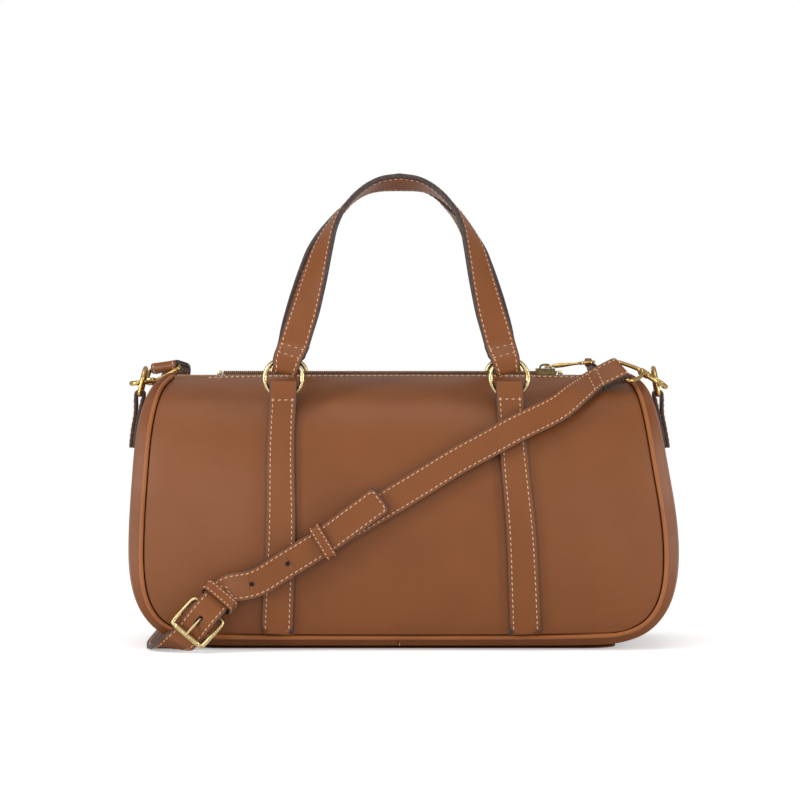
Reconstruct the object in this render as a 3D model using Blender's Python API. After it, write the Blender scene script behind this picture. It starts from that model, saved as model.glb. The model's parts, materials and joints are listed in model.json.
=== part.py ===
"""A zipped barrel satchel in smooth leather, with two handles and a buckled shoulder strap.

Metres. The origin is the middle of the base, on the floor. +Z is up, the front faces -Y, +X is the
front's right.
"""

import math

import bpy
import numpy as np

# Leather and running gaps
GAP = 0.0003
SHELL_THICKNESS = 0.0016
STRAP_THICKNESS = 0.0025
TAB_THICKNESS = 0.0018
HANDLE_THICKNESS = 0.0032

# Body, measured outside
BODY_WIDTH = 0.3400
BODY_DEPTH = 0.1500
BODY_HEIGHT = 0.1670
GUSSET_BULGE = 0.0096
GUSSET_DROP_SHARE = 0.0575
TOP_LEAN = -0.0030
BASE_THICKNESS = 0.0010
BASE_LENGTH_SHARE = 0.7706
BASE_WIDTH_SHARE = 0.6133
BASE_CORNER = 0.0200
BOARD_THICKNESS = 0.0020
BOARD_LENGTH_SHARE = 0.6941
BOARD_WIDTH_SHARE = 0.6000
LINING_CLEARANCE = 0.0030
LINING_THICKNESS = 0.0008
LINING_MOUTH = 0.0050
PIPING_DIAMETER = 0.0030
GUSSET_JOIN_X = -0.0035

# Rows of the front panel from the bottom seam to the zip. Each row has the middle's depth and height, then
# the seam's half width, depth and height, then how far the gusset stands out, as shares of the body's sizes.
LOFT_SHARES = (
    (0.860, 0.048, 0.745, 0.860, 0.048, 0.75),
    (0.910, 0.069, 0.867, 0.858, 0.069, 0.76),
    (0.945, 0.120, 0.942, 0.852, 0.120, 0.82),
    (0.975, 0.204, 0.986, 0.842, 0.204, 0.92),
    (1.000, 0.329, 1.000, 0.825, 0.329, 1.00),
    (1.000, 0.491, 0.992, 0.795, 0.491, 1.00),
    (0.965, 0.653, 0.972, 0.740, 0.653, 1.00),
    (0.870, 0.802, 0.955, 0.655, 0.802, 0.95),
    (0.720, 0.904, 0.934, 0.520, 0.908, 0.80),
    (0.500, 0.958, 0.915, 0.350, 0.958, 0.60),
    (0.290, 0.988, 0.895, 0.210, 0.984, 0.42),
    (0.120, 1.000, 0.879, 0.120, 0.997, 0.30),
)
PANEL_CROWN_POWER = 3.5
GUSSET_POWER = 3.5
GUSSET_FLAT_SHARE = 1.10
LEAN_START_SHARE = 0.36
LEAN_END_SHARE = 0.84

# Handles, their rings and the tabs that hold them
HANDLE_OFFSET = -0.0015
HANDLE_SPREAD_SHARE = 0.2026
HANDLE_EDGE_SHARE = 0.22
HANDLE_WIDTH = 0.0190
HANDLE_RISE = 0.1216
HANDLE_TOP_Y = -0.0150
BACK_HANDLE_DROP = 0.0040
HANDLE_TWIST = math.radians(90)
HANDLE_TILT = math.radians(27)
HANDLE_TAPER_RUN = 0.0200
# Where along its spread a handle starts to turn edge-on and how long that takes, then where its tilt ends
HANDLE_TURN_SHARES = (0.345, 0.58, 0.55)
HANDLE_LEAN_POWER = 0.85
RING_RADIUS = 0.0116
RING_WIRE = 0.0030
RING_Y_SHARE = -0.7733
RING_Z_SHARE = 0.9940
LOOP_ROOM = 0.0063
LOOP_UNDERLAP = 0.0120
TAB_TOP_WIDTH = 0.0168
TAB_WIDTH = 0.0194
TAB_FOOT_SPREAD_SHARE = 0.2221
LOOP_END_SHARES = (0.32, 0.54)
# Left leg of the front handle, as shares of its spread and of its rise, from its middle downwards
HANDLE_SHARES = (
    (0.000, 1.000),
    (0.150, 0.990),
    (0.290, 0.955),
    (0.410, 0.895),
    (0.520, 0.800),
    (0.640, 0.665),
    (0.755, 0.500),
    (0.850, 0.330),
    (0.925, 0.170),
    (0.975, 0.065),
)

# Zip
ZIP_HALF_LENGTH_SHARE = 0.4103
CHAIN_LEFT_SHARE = -0.3324
CHAIN_RIGHT_SHARE = 0.2824
CHAIN_SLIT = 0.0014
TOOTH_PITCH = 0.0042
TOOTH_LENGTH = 0.0023
TOOTH_SPINE = 0.0007
TOOTH_HEIGHT = 0.0025
TOOTH_GAP_SHARE = 0.42
TAPE_THICKNESS = 0.0008
TAPE_RISE = 0.0002
TAPE_DROP = 0.0046
TAPE_FLAT = 0.0052
TAPE_BEND = 0.0092
TAPE_HALF_WIDTH = 0.0140
TAPE_EDGE_DROP = 0.0060
STOP_LENGTH = 0.0030
SLIDER_X_SHARE = 0.2603
SLIDER_LENGTH = 0.0120
SLIDER_FLANGE = 0.0010
SLIDER_PLATE = 0.0011
CROWN_WIRE = 0.0014
CROWN_RISE = 0.0024
CROWN_HALF = 0.0034
PULL_ANGLE = math.radians(6)
PULL_LENGTH = 0.0260
PULL_RING_RADIUS = 0.0046
PULL_WIRE = 0.0018
PULL_TAB_LENGTH = 0.0240
PULL_TAB_WIDTH = 0.0070
PULL_TAB_THICKNESS = 0.0013
PULL_TAB_DROP = 0.30
PULL_TAB_NECK_SHARE = 0.55
# How far along the puller and how far towards the back its leather tab points
PULL_TAB_WAY = (0.25, 0.97)

# Side tabs and their D-rings
SIDE_LOOP_DROP = 0.0030
TAB_SEAT = 0.0005
SIDE_TAB_WIDTH = 0.0160
SIDE_TAB_FOOT_SHARE = 0.7275
SIDE_TAB_JOIN_SHARE = 0.8563
SIDE_RING_Z_SHARE = 0.9275
SIDE_RING_WIRE = 0.0029
SIDE_RING_HALF = 0.0098
SIDE_RING_HEIGHT = 0.0172
SIDE_RING_STRAIGHT = 0.0085
RIGHT_RING_LEAN = math.radians(9.3)
LEFT_RING_LEAN = math.radians(11.6)

# Swivel hooks
HOOK_WIRE = 0.0030
HOOK_HALF_LENGTH = 0.0092
HOOK_HALF_WIDTH = 0.0050
COLLAR_RADIUS = 0.0026
STEM_RADIUS = 0.0011
GATE_WIRE = 0.0026
GATE_HALF = 0.0034
EYE_WIRE = 0.0026
EYE_HALF = 0.0105
HUB_LENGTH = 0.0048
HUB_BORE_DEPTH = 0.0019
BOSS_RADIUS = 0.0024
# Each hook's middle from the middle of its D-ring's bar, and the ways its nose points and its gate faces.
# Each eye's bar from the same place, and the way that it runs.
RIGHT_HOOK = ((-0.0021, -0.0094, 0.0093), (0.647, 0.665, -0.373), (0.518, -0.742, -0.425))
RIGHT_EYE = ((-0.0254, -0.0264, 0.0150), (0.460, -0.684, -0.566))
LEFT_HOOK = ((0.0009, 0.0065, 0.0076), (-0.412, -0.910, -0.037), (0.906, -0.414, 0.090))
LEFT_EYE = ((0.0140, 0.0296, 0.0167), (0.907, -0.398, 0.136))

# Shoulder strap, buckle and keepers
STRAP_WIDTH = 0.0175
EYE_UNDERLAP = 0.0160
HOLE_DIAMETER = 0.0028
HOLE_SIDES = 12
# Where each spare hole is, as a share of the body's width.
HOLE_SHARES = (-0.3205, -0.2700, -0.2060)
BUCKLE_LENGTH = 0.0215
BUCKLE_HALF_WIDTH = 0.0118
BUCKLE_CORNER = 0.0030
ROLLER_CORNER = 0.0022
BUCKLE_WIRE = 0.0030
ROLLER_BAR = 0.0019
ROLLER_RADIUS = 0.0018
ROLLER_LENGTH = 0.0176
PRONG_WIRE = 0.0020
PRONG_SLOT = 0.0036
KEEPER_WIDTH = 0.0072
KEEPER_THICKNESS = 0.0014
KEEPER_ROOM = 0.0006
PLY_GAP = 0.0005
KEEPER_CORNER = 0.0016
UNDER_THICKNESS = 0.0015
BUCKLE_LAP = 0.0120
KEEPER_FROM_PIVOT = 0.0088
# The buckle's bar, as shares of the body's half width, half depth and height
PIVOT_SHARES = (-0.6924, -1.0427, 0.1557)
BUCKLE_REACH = (-0.62, -0.40, -0.675)
BUCKLE_ACROSS = (0.78, -0.10, -0.61)
# The ways in which the strap's two ends come to their eyes
RIGHT_REACH = (0.85, 0.26, 0.48)
LEFT_REACH = (0.0, -0.97, 0.23)
# A strap end's turned-under ply: how far back along its lap, and how nearly it has closed up to the top ply
FOLD_SHARES = (
    (0.22, 0.30),
    (0.42, 0.94),
    (0.70, 1.00),
    (1.00, 1.00),
)
# The buckle strap's way down the front panel: how far right and how high as shares of the body's width and
# height, then its lift off the panel in lifts, and how far it leans off the panel's slope.
ROUTE_SHARES = (
    (0.3170, 0.938, 1.20, 0.28),
    (0.2800, 0.882, 1.40, 0.35),
    (0.2080, 0.812, 1.65, 0.42),
    (0.1600, 0.758, 1.45, 0.28),
    (0.1003, 0.693, 1.12, 0.08),
    (0.0320, 0.611, 1.00, 0.00),
    (-0.0315, 0.536, 1.00, 0.00),
    (-0.1365, 0.411, 1.00, 0.00),
    (-0.2132, 0.316, 1.02, 0.00),
    (-0.2620, 0.256, 1.12, 0.00),
)
SLIDING_KEEPER_SHARE = -0.1500
TAIL_LENGTH = 0.0450
TAIL_TURN = math.radians(5.5)
TAIL_STAND = 0.0012
# The hole strap past the pivot, in buckle lengths towards the roller and out from the frame
BUCKLE_PASS_SHARES = (
    (0.00, 0.277),
    (0.26, 0.262),
    (0.42, 0.180),
    (0.57, 0.040),
    (0.73, -0.090),
    (0.88, -0.190),
    (1.02, -0.236),
)
# From the roller, under the body's left corner, along the floor and up the back to the left hook. Each row
# has the place as shares of the body's half width, half depth and height, then the tilt towards the buckle.
STRAP_RETURN_SHARES = (
    (-0.7940, -1.079, 0.0480, 0.64),
    (-0.8130, -1.030, 0.0370, 0.36),
    (-0.8340, -0.965, 0.0255, 0.12),
    (-0.8540, -0.873, 0.0160, 0.0),
    (-0.8740, -0.693, 0.0108, 0.0),
    (-0.8820, -0.300, 0.0102, 0.0),
    (-0.8820, 0.300, 0.0102, 0.0),
    (-0.8820, 0.850, 0.0102, 0.0),
    (-0.8820, 1.200, 0.0125, 0.0),
    (-0.8820, 1.390, 0.0500, 0.0),
    (-0.8820, 1.445, 0.1400, 0.0),
    (-0.8820, 1.430, 0.3400, 0.0),
    (-0.8820, 1.340, 0.5400, 0.0),
    (-0.8820, 1.160, 0.7400, 0.0),
    (-0.8820, 0.880, 0.9200, 0.0),
)

# Working values that follow from the sizes above
SEAM_HALF = BODY_WIDTH / 2 - GUSSET_BULGE
DEPTH_HALF = BODY_DEPTH / 2
HANDLE_SPREAD = HANDLE_SPREAD_SHARE * BODY_WIDTH
TAB_FOOT_SPREAD = TAB_FOOT_SPREAD_SHARE * BODY_WIDTH
ZIP_HALF_LENGTH = ZIP_HALF_LENGTH_SHARE * BODY_WIDTH
CHAIN_LEFT = CHAIN_LEFT_SHARE * BODY_WIDTH
CHAIN_RIGHT = CHAIN_RIGHT_SHARE * BODY_WIDTH
SLIDER_X = SLIDER_X_SHARE * BODY_WIDTH
RING_Y = RING_Y_SHARE * DEPTH_HALF
RING_Z = RING_Z_SHARE * BODY_HEIGHT
SIDE_RING_Z = SIDE_RING_Z_SHARE * BODY_HEIGHT
GUSSET_RISE = GUSSET_DROP_SHARE * BODY_HEIGHT / GUSSET_BULGE
BASE_LEVEL = BASE_THICKNESS + GAP
SEAM_SEAT = PIPING_DIAMETER / 2 + GAP
LAST_ROW = len(LOFT_SHARES) - 1
TAPE_TOP = BODY_HEIGHT + TAPE_RISE
TOOTH_FOOT = TAPE_TOP + GAP
TOOTH_TOP = TOOTH_FOOT + TOOTH_HEIGHT
PLATE_TOP = TOOTH_TOP + GAP + SLIDER_PLATE
STRAP_LIFT = TAB_SEAT + TAB_THICKNESS + GAP + STRAP_THICKNESS / 2

LEATHER = ((0.262, 0.095, 0.038), 0.42, 0.0)
DARK_LEATHER = ((0.180, 0.062, 0.026), 0.5, 0.0)
FABRIC = ((0.30, 0.20, 0.12), 0.9, 0.0)
BOARD = ((0.32, 0.24, 0.16), 0.9, 0.0)
BRASS = ((0.78, 0.62, 0.33), 0.28, 1.0)
ZIP_BROWN = ((0.10, 0.045, 0.022), 0.6, 0.0)


def vec(x, y, z):
    return np.array((x, y, z), float)


def unit(v):
    return v / np.linalg.norm(v)


def clear_scene():
    for obj in list(bpy.data.objects):
        bpy.data.objects.remove(obj, do_unlink=True)


def material_of(name, look):
    color, roughness, metallic = look
    material = bpy.data.materials.new(name)
    material.use_nodes = True
    shader = material.node_tree.nodes["Principled BSDF"]
    shader.inputs["Base Color"].default_value = (*color, 1.0)
    shader.inputs["Roughness"].default_value = roughness
    shader.inputs["Metallic"].default_value = metallic
    return material


def add_mesh(name, points, faces, look, origin=None):
    """An object whose mesh is set about origin, with its own material."""
    pivot = vec(0, 0, 0) if origin is None else np.asarray(origin, float)
    mesh = bpy.data.meshes.new(name)
    mesh.from_pydata([tuple(np.asarray(p, float) - pivot) for p in points], [], faces)
    mesh.validate()
    mesh.update()
    obj = bpy.data.objects.new(name, mesh)
    obj.location = tuple(pivot)
    mesh.materials.append(material_of(name, look))
    bpy.context.collection.objects.link(obj)
    mesh.shade_smooth()
    mesh.set_sharp_from_angle(angle=math.radians(35))
    return obj


def as_helper(obj):
    obj.hide_render = True
    obj.display_type = "WIRE"
    return obj


def join_with(obj, others, operation="UNION"):
    """Adds a Boolean for each helper object."""
    for other in others:
        as_helper(other)
        modifier = obj.modifiers.new(other.name, "BOOLEAN")
        modifier.operation = operation
        modifier.solver = "EXACT"
        modifier.object = other
    return obj


# Curves and surfaces


def catmull(rows, t):
    """The Catmull-Rom curve through rows, at t counted in rows."""
    rows = np.asarray(rows, float)
    i = int(min(max(math.floor(t), 0), len(rows) - 2))
    f = t - i
    before = rows[i - 1] if i > 0 else 2 * rows[0] - rows[1]
    after = rows[i + 2] if i + 2 < len(rows) else 2 * rows[-1] - rows[-2]
    a, b = rows[i], rows[i + 1]
    return 0.5 * (
        2 * a + (b - before) * f + (2 * before - 5 * a + 4 * b - after) * f**2
        + (3 * a - before - 3 * b + after) * f**3
    )


def smooth_path(points, steps):
    """Points spread evenly along the smooth curve through the given ones."""
    count = len(points) - 1
    fine = np.array([catmull(points, k * count / (20 * count)) for k in range(20 * count + 1)])
    length = np.concatenate([[0], np.cumsum(np.linalg.norm(np.diff(fine[:, :3], axis=0), axis=1))])
    wanted = np.linspace(0, length[-1], steps + 1)
    return np.array([[np.interp(w, length, fine[:, c]) for c in range(fine.shape[1])] for w in wanted])


def smoothstep(x):
    x = min(max(x, 0.0), 1.0)
    return x * x * (3 - 2 * x)


def lean(z):
    """How far the body has slumped sideways at a height."""
    span = (LEAN_END_SHARE - LEAN_START_SHARE) * BODY_HEIGHT
    return TOP_LEAN * smoothstep((z - LEAN_START_SHARE * BODY_HEIGHT) / span)


def loft(t):
    """Middle depth and height, seam half width, depth and height, gusset bulge, and the seam's normal."""
    shares = catmull(LOFT_SHARES, t)
    run, _, rise = seam_run(t)
    normal = np.array((rise, -run)) / math.hypot(rise, run)
    yc, zc, xs, ys, zs, bulge = shares
    return (
        yc * DEPTH_HALF, zc * BODY_HEIGHT, xs * SEAM_HALF, ys * DEPTH_HALF, zs * BODY_HEIGHT,
        bulge * GUSSET_BULGE, normal,
    )


def seam_run(t):
    """The direction in which the seam climbs at row t, as a unit vector."""
    step = 0.05
    ahead = catmull(LOFT_SHARES, min(t + step, LAST_ROW))
    behind = catmull(LOFT_SHARES, max(t - step, 0))
    change = ahead - behind
    return unit(vec(change[2] * SEAM_HALF, change[3] * DEPTH_HALF, change[4] * BODY_HEIGHT))


def gusset_seat(t):
    """How far the gusset's edge keeps from the seam along Y, so that the piping has room beside it."""
    return (SEAM_SEAT + GAP) / math.sqrt(1 - seam_run(t)[1] ** 2)


def panel_point(x, t, lift=0.0):
    """A point of the front panel's outer face at x and row t, lifted off it along its normal."""
    yc, zc, xs, ys, zs, _, normal = loft(t)
    foot = zc + SEAM_SEAT if t <= 0 else zc
    edge_x = xs - normal[0] * SEAM_SEAT
    edge_z = zs - normal[1] * SEAM_SEAT if t > 0 else foot
    blend = min(abs(x) / edge_x, 1.2) ** PANEL_CROWN_POWER
    y = -(yc + (ys - yc) * blend)
    z = foot + (edge_z - foot) * blend
    point = vec(x + lean(z), y, z)
    return point + lift * panel_normal(x, t) if lift else point


def panel_normal(x, t):
    dx, dt = 0.02 * SEAM_HALF, 0.1
    t = min(max(t, 1.05 * dt), LAST_ROW - 1.05 * dt)
    across = panel_point(x + dx, t) - panel_point(x - dx, t)
    along = panel_point(x, t + dt) - panel_point(x, t - dt)
    return unit(np.cross(across, along))


def row_at(x, z):
    """The row of the front panel whose height is z at x."""
    low, high = 0.02, float(LAST_ROW)
    for _ in range(40):
        middle = (low + high) / 2
        if panel_point(x, middle)[2] < z:
            low = middle
        else:
            high = middle
    return (low + high) / 2


def seam_path(side):
    """The seam from the left end of the zip, under the base, to its right end. side is -1 for the front."""
    rows = [LAST_ROW - k * LAST_ROW / 17 for k in range(18)]
    first = loft(0)
    points = []
    for t in rows:
        _, _, xs, ys, zs, _, _ = loft(t)
        points.append(vec(-xs + lean(zs), side * ys, zs))
    flat = [vec(share * first[2], side * first[3], first[4]) for share in (-0.5, 0.0, 0.5)]
    right = [vec(-(p[0] - lean(p[2])) + lean(p[2]), p[1], p[2]) for p in reversed(points)]
    return points + flat + right


# Solid builders


def grid_faces(rows, columns):
    return [
        (r * columns + c, r * columns + c + 1, (r + 1) * columns + c + 1, (r + 1) * columns + c)
        for r in range(rows - 1)
        for c in range(columns - 1)
    ]


def add_sheet(name, grid, thickness, look, inside):
    """A grid of points made a wall of the thickness, which grows towards the point inside."""
    grid = np.asarray(grid, float)
    rows, columns = grid.shape[:2]
    points = grid.reshape(-1, 3)
    faces = grid_faces(rows, columns)
    corner = grid[rows // 2, columns // 2]
    normal = np.cross(
        grid[rows // 2, columns // 2 + 1] - corner, grid[rows // 2 + 1, columns // 2] - corner
    )
    if np.dot(normal, corner - inside) < 0:
        faces = [face[::-1] for face in faces]
    obj = add_mesh(name, points, faces, look)
    wall = obj.modifiers.new("wall", "SOLIDIFY")
    wall.thickness = thickness
    wall.offset = -1.0
    wall.use_even_offset = True
    return obj


def add_prism(name, outline, low, high, look, axis="z", origin=None):
    """A flat outline extruded between two levels. It runs anticlockwise seen from the axis's + end."""
    place = {
        "x": lambda a, b, level: (level, a, b),
        "y": lambda a, b, level: (b, level, a),
        "z": lambda a, b, level: (a, b, level),
    }[axis]
    count = len(outline)
    points = [place(a, b, low) for a, b in outline] + [place(a, b, high) for a, b in outline]
    faces = [tuple(range(count))[::-1], tuple(range(count, 2 * count))]
    faces += [(k, (k + 1) % count, count + (k + 1) % count, count + k) for k in range(count)]
    return add_mesh(name, points, faces, look, origin)


def add_box(name, low, high, look, origin=None):
    outline = [(low[0], low[1]), (high[0], low[1]), (high[0], high[1]), (low[0], high[1])]
    return add_prism(name, outline, low[2], high[2], look, "z", origin)


def sweep(name, sections, look, closed=False, origin=None):
    """A skin over rings of points, capped at both ends unless it closes on itself."""
    rings, sides = len(sections), len(sections[0])
    points = [p for section in sections for p in section]
    faces = []
    last = rings if closed else rings - 1
    for r in range(last):
        a, b = r * sides, ((r + 1) % rings) * sides
        for s in range(sides):
            n = (s + 1) % sides
            faces.append((a + s, a + n, b + n, b + s))
    if not closed:
        faces.append(tuple(range(sides))[::-1])
        faces.append(tuple((rings - 1) * sides + s for s in range(sides)))
    return add_mesh(name, points, faces, look, origin)


def ribbon(name, centres, widths, thickness, look, origin=None, chamfer_share=0.0):
    """A strap along its centre line. widths holds the vector from edge to edge at each point."""
    centres = np.asarray(centres, float)
    widths = np.asarray(widths, float)
    thick = np.broadcast_to(np.asarray(thickness, float), (len(centres),))
    tangents = np.gradient(centres, axis=0)
    sections = []
    for centre, across, along, t in zip(centres, widths, tangents, thick):
        along = unit(along)
        size = np.linalg.norm(across)
        across = unit(across - np.dot(across, along) * along)
        up = np.cross(along, across)
        w, h = across * size / 2, up * t / 2
        if chamfer_share:
            k = chamfer_share * t / size
            flat, stand = 1 - 2 * k, 1 - 2 * chamfer_share
            section = [
                centre - w - stand * h, centre - flat * w - h, centre + flat * w - h, centre + w - stand * h,
                centre + w + stand * h, centre + flat * w + h, centre - flat * w + h, centre - w + stand * h,
            ]
        else:
            section = [centre - w - h, centre + w - h, centre + w + h, centre - w + h]
        sections.append(section)
    return sweep(name, sections, look, origin=origin)


def rod(name, points, radii, look, closed=False, origin=None, sides=8, first_normal=None):
    """A round wire through the points. radii is one radius or one for each point."""
    points = np.asarray(points, float)
    radii = np.broadcast_to(np.asarray(radii, float), (len(points),))
    if closed:
        tangents = np.roll(points, -1, axis=0) - np.roll(points, 1, axis=0)
    else:
        tangents = np.gradient(points, axis=0)
    normal = first_normal
    if normal is None:
        rough = vec(0.31, 0.87, 0.38)
        normal = rough - np.dot(rough, unit(tangents[0])) * unit(tangents[0])
    sections = []
    for point, tangent, radius in zip(points, tangents, radii):
        tangent = unit(tangent)
        normal = unit(normal - np.dot(normal, tangent) * tangent)
        side = np.cross(tangent, normal)
        angles = [2 * math.pi * (k + 0.5) / sides for k in range(sides)]
        sections.append([point + radius * (math.cos(a) * normal + math.sin(a) * side) for a in angles])
    return sweep(name, sections, look, closed, origin)


def rounded_rectangle(half_x, half_y, corner, steps):
    points = []
    for cx, cy, start in ((1, 1, 0), (-1, 1, 90), (-1, -1, 180), (1, -1, 270)):
        for k in range(steps + 1):
            a = math.radians(start + 90 * k / steps)
            points.append((
                cx * (half_x - corner) + corner * math.cos(a),
                cy * (half_y - corner) + corner * math.sin(a),
            ))
    return points


# Body


def add_panel(name, side):
    """The front panel, or with side 1 the same panel turned to the back."""
    shares = [math.copysign(1 - (1 - abs(k) / 8) ** 1.35, k) for k in range(-8, 9)]
    grid = []
    for t in [LAST_ROW * k / 15 for k in range(16)]:
        _, _, xs, _, _, _, normal = loft(t)
        edge = xs - normal[0] * SEAM_SEAT if t > 0 else xs
        row = []
        for share in shares:
            x, y, z = panel_point(share * edge, t)
            row.append((x, -side * y, z))
        grid.append(row)
    return add_sheet(name, grid, SHELL_THICKNESS, LEATHER, vec(0, 0, BODY_HEIGHT / 2))


def gusset_section(x, z, edge, bulge, normal, columns=9):
    """Points across the gusset from its front edge to its back edge."""
    row = []
    for k in range(columns):
        share = math.sin(math.pi / 2 * (2 * k / (columns - 1) - 1))
        stand = (1 - abs(share) ** GUSSET_POWER) ** (1 / GUSSET_POWER)
        stand = bulge * min(1.0, GUSSET_FLAT_SHARE * stand)
        height = max(z + stand * GUSSET_RISE * normal[1], BASE_LEVEL)
        row.append((x + stand * normal[0], share * edge, height))
    return row


def gusset_grid(sign):
    """The half of the gusset to the right or the left of its join under the base."""
    _, _, xs, ys, zs, bulge, _ = loft(0)
    start = GUSSET_JOIN_X + sign * GAP / 2
    grid = []
    for share in (0.0, 0.35, 0.7):
        x = start + share * (sign * xs - start)
        grid.append(gusset_section(x, zs, ys - SEAM_SEAT, bulge, (0, -1)))
    for k in range(20):
        t = LAST_ROW * k / 19
        _, _, xs, ys, zs, bulge, normal = loft(t)
        x = sign * xs + lean(zs)
        grid.append(gusset_section(x, zs, ys - gusset_seat(t), bulge, (sign * normal[0], normal[1])))
    return grid


def gusset_out(z):
    """How far out the middle of the gusset stands at a height, before the body's lean."""
    low, high = 3.0, float(LAST_ROW)
    for _ in range(40):
        t = (low + high) / 2
        _, _, xs, _, zs, bulge, normal = loft(t)
        if zs + bulge * GUSSET_RISE * normal[1] < z:
            low = t
        else:
            high = t
    return xs + bulge * normal[0]


def add_base():
    outline = rounded_rectangle(
        BASE_LENGTH_SHARE * BODY_WIDTH / 2, BASE_WIDTH_SHARE * BODY_DEPTH / 2, BASE_CORNER, 4
    )
    add_prism("base_panel", outline, 0, BASE_THICKNESS, LEATHER)
    foot = BASE_LEVEL + SHELL_THICKNESS + GAP
    outline = rounded_rectangle(
        BOARD_LENGTH_SHARE * BODY_WIDTH / 2, BOARD_WIDTH_SHARE * BODY_DEPTH / 2, BASE_CORNER / 2, 3
    )
    add_prism("base_board", outline, foot, foot + BOARD_THICKNESS, BOARD)
    return foot + BOARD_THICKNESS + GAP


def add_lining(floor):
    """A fabric bag inside the leather, open along the zip."""
    rows, columns = 7, 20
    grid = []
    inset = SHELL_THICKNESS + LINING_CLEARANCE
    for r in range(rows):
        t = 1 + (LAST_ROW - 2.2) * r / (rows - 1)
        yc, zc, xs, _, _, _, _ = loft(t)
        z = max(floor + LINING_THICKNESS, min(zc, BODY_HEIGHT) - inset)
        mouth = 1 - smoothstep((r - rows + 2.5) / 1.5) * (1 - LINING_MOUTH / DEPTH_HALF)
        ring = []
        for c in range(columns):
            a = 2 * math.pi * c / columns
            px = math.copysign(abs(math.cos(a)) ** 0.6, math.cos(a)) * (xs - inset)
            py = math.copysign(abs(math.sin(a)) ** 0.6, math.sin(a)) * (yc * 0.93 - inset)
            ring.append((px + lean(z), py * mouth, z))
        grid.append(ring)
    points = [p for ring in grid for p in ring]
    faces = []
    for r in range(rows - 1):
        for c in range(columns):
            n = (c + 1) % columns
            a, b = r * columns, (r + 1) * columns
            faces.append((a + c, a + n, b + n, b + c))
    faces.append(tuple(range(columns))[::-1])
    obj = add_mesh("lining", points, faces, FABRIC)
    wall = obj.modifiers.new("wall", "SOLIDIFY")
    wall.thickness = LINING_THICKNESS
    wall.offset = -1.0
    return obj


def add_body():
    add_panel("front_panel", -1)
    add_panel("back_panel", 1)
    inside = vec(0, 0, BODY_HEIGHT / 2)
    add_sheet("gusset_right", gusset_grid(1), SHELL_THICKNESS, LEATHER, inside)
    add_sheet("gusset_left", gusset_grid(-1), SHELL_THICKNESS, LEATHER, inside)
    for name, side in (("front_piping", -1), ("back_piping", 1)):
        rod(name, seam_path(side), PIPING_DIAMETER / 2, DARK_LEATHER, sides=6)
    add_lining(add_base())


# Tabs, rings and handles


def loop_half():
    """Half the distance between the middles of the two plies of a loop round a handle ring."""
    return LOOP_ROOM / 2 + TAB_THICKNESS / 2


def tab_centre(x, z, lift):
    return panel_point(x, row_at(x, z), lift)


def add_tab(name, sign, side):
    """A tab up the panel, through its ring and back down behind itself."""
    lift = TAB_SEAT + TAB_THICKNESS / 2
    half = loop_half()
    outer, inner = RING_Y - half, RING_Y + half
    wire_z = RING_Z - RING_RADIUS
    fold_z = RING_Z - GAP - TAB_THICKNESS / 2 - half
    foot_z = loft(0)[4] + SEAM_SEAT + lift

    def place(z):
        share = (z - foot_z) / (fold_z - foot_z)
        x = HANDLE_OFFSET + sign * (TAB_FOOT_SPREAD + (HANDLE_SPREAD - TAB_FOOT_SPREAD) * share)
        return x, TAB_WIDTH + (TAB_TOP_WIDTH - TAB_WIDTH) * smoothstep(share)

    centres, widths = [], []

    def put(x, y, z, width, slope=0.0):
        centres.append(vec(x, -side * y, z))
        widths.append(width * unit(vec(1, -side * slope, 0)))

    steps = 15
    for k in range(steps + 1):
        z = foot_z + (fold_z - foot_z) * k / steps
        x, width = place(z)
        point = tab_centre(x, z, lift)
        left = tab_centre(x - width / 2, z, lift)
        right = tab_centre(x + width / 2, z, lift)
        slope = (right[1] - left[1]) / width
        if z > RING_Z / 2 and min(left[1], right[1], point[1]) > outer:
            put(x + lean(z), outer, z, width)
        else:
            put(point[0], min(point[1], (left[1] + right[1]) / 2), point[2], width, slope)
    x, width = place(fold_z)
    for k in range(1, 7):
        a = math.pi * k / 6
        put(x + lean(fold_z), RING_Y - half * math.cos(a), fold_z + half * math.sin(a), width)
    put(x + lean(fold_z), inner, wire_z, width)
    for drop in LOOP_END_SHARES:
        z = wire_z - drop * LOOP_UNDERLAP
        put(x + lean(z), tab_centre(x, z, lift + GAP)[1], z, width)
    ribbon(name, centres, widths, TAB_THICKNESS, LEATHER)


def ring_centre(sign, side):
    return vec(HANDLE_OFFSET + sign * HANDLE_SPREAD + lean(RING_Z), -side * RING_Y, RING_Z)


def ring_axis_z():
    """The height of the line that a handle ring swings on, inside its tab."""
    reach = TAB_TOP_WIDTH / 2
    sag = RING_RADIUS - math.sqrt(RING_RADIUS**2 - reach**2)
    return RING_Z - RING_RADIUS + sag / 2


def add_ring(name, centre, pivot):
    points = []
    for k in range(22):
        a = 2 * math.pi * k / 22
        points.append(centre + RING_RADIUS * vec(math.cos(a), 0, math.sin(a)))
    rod(name, points, RING_WIRE / 2, BRASS, closed=True, origin=pivot, first_normal=vec(0, 1, 0))


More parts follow.
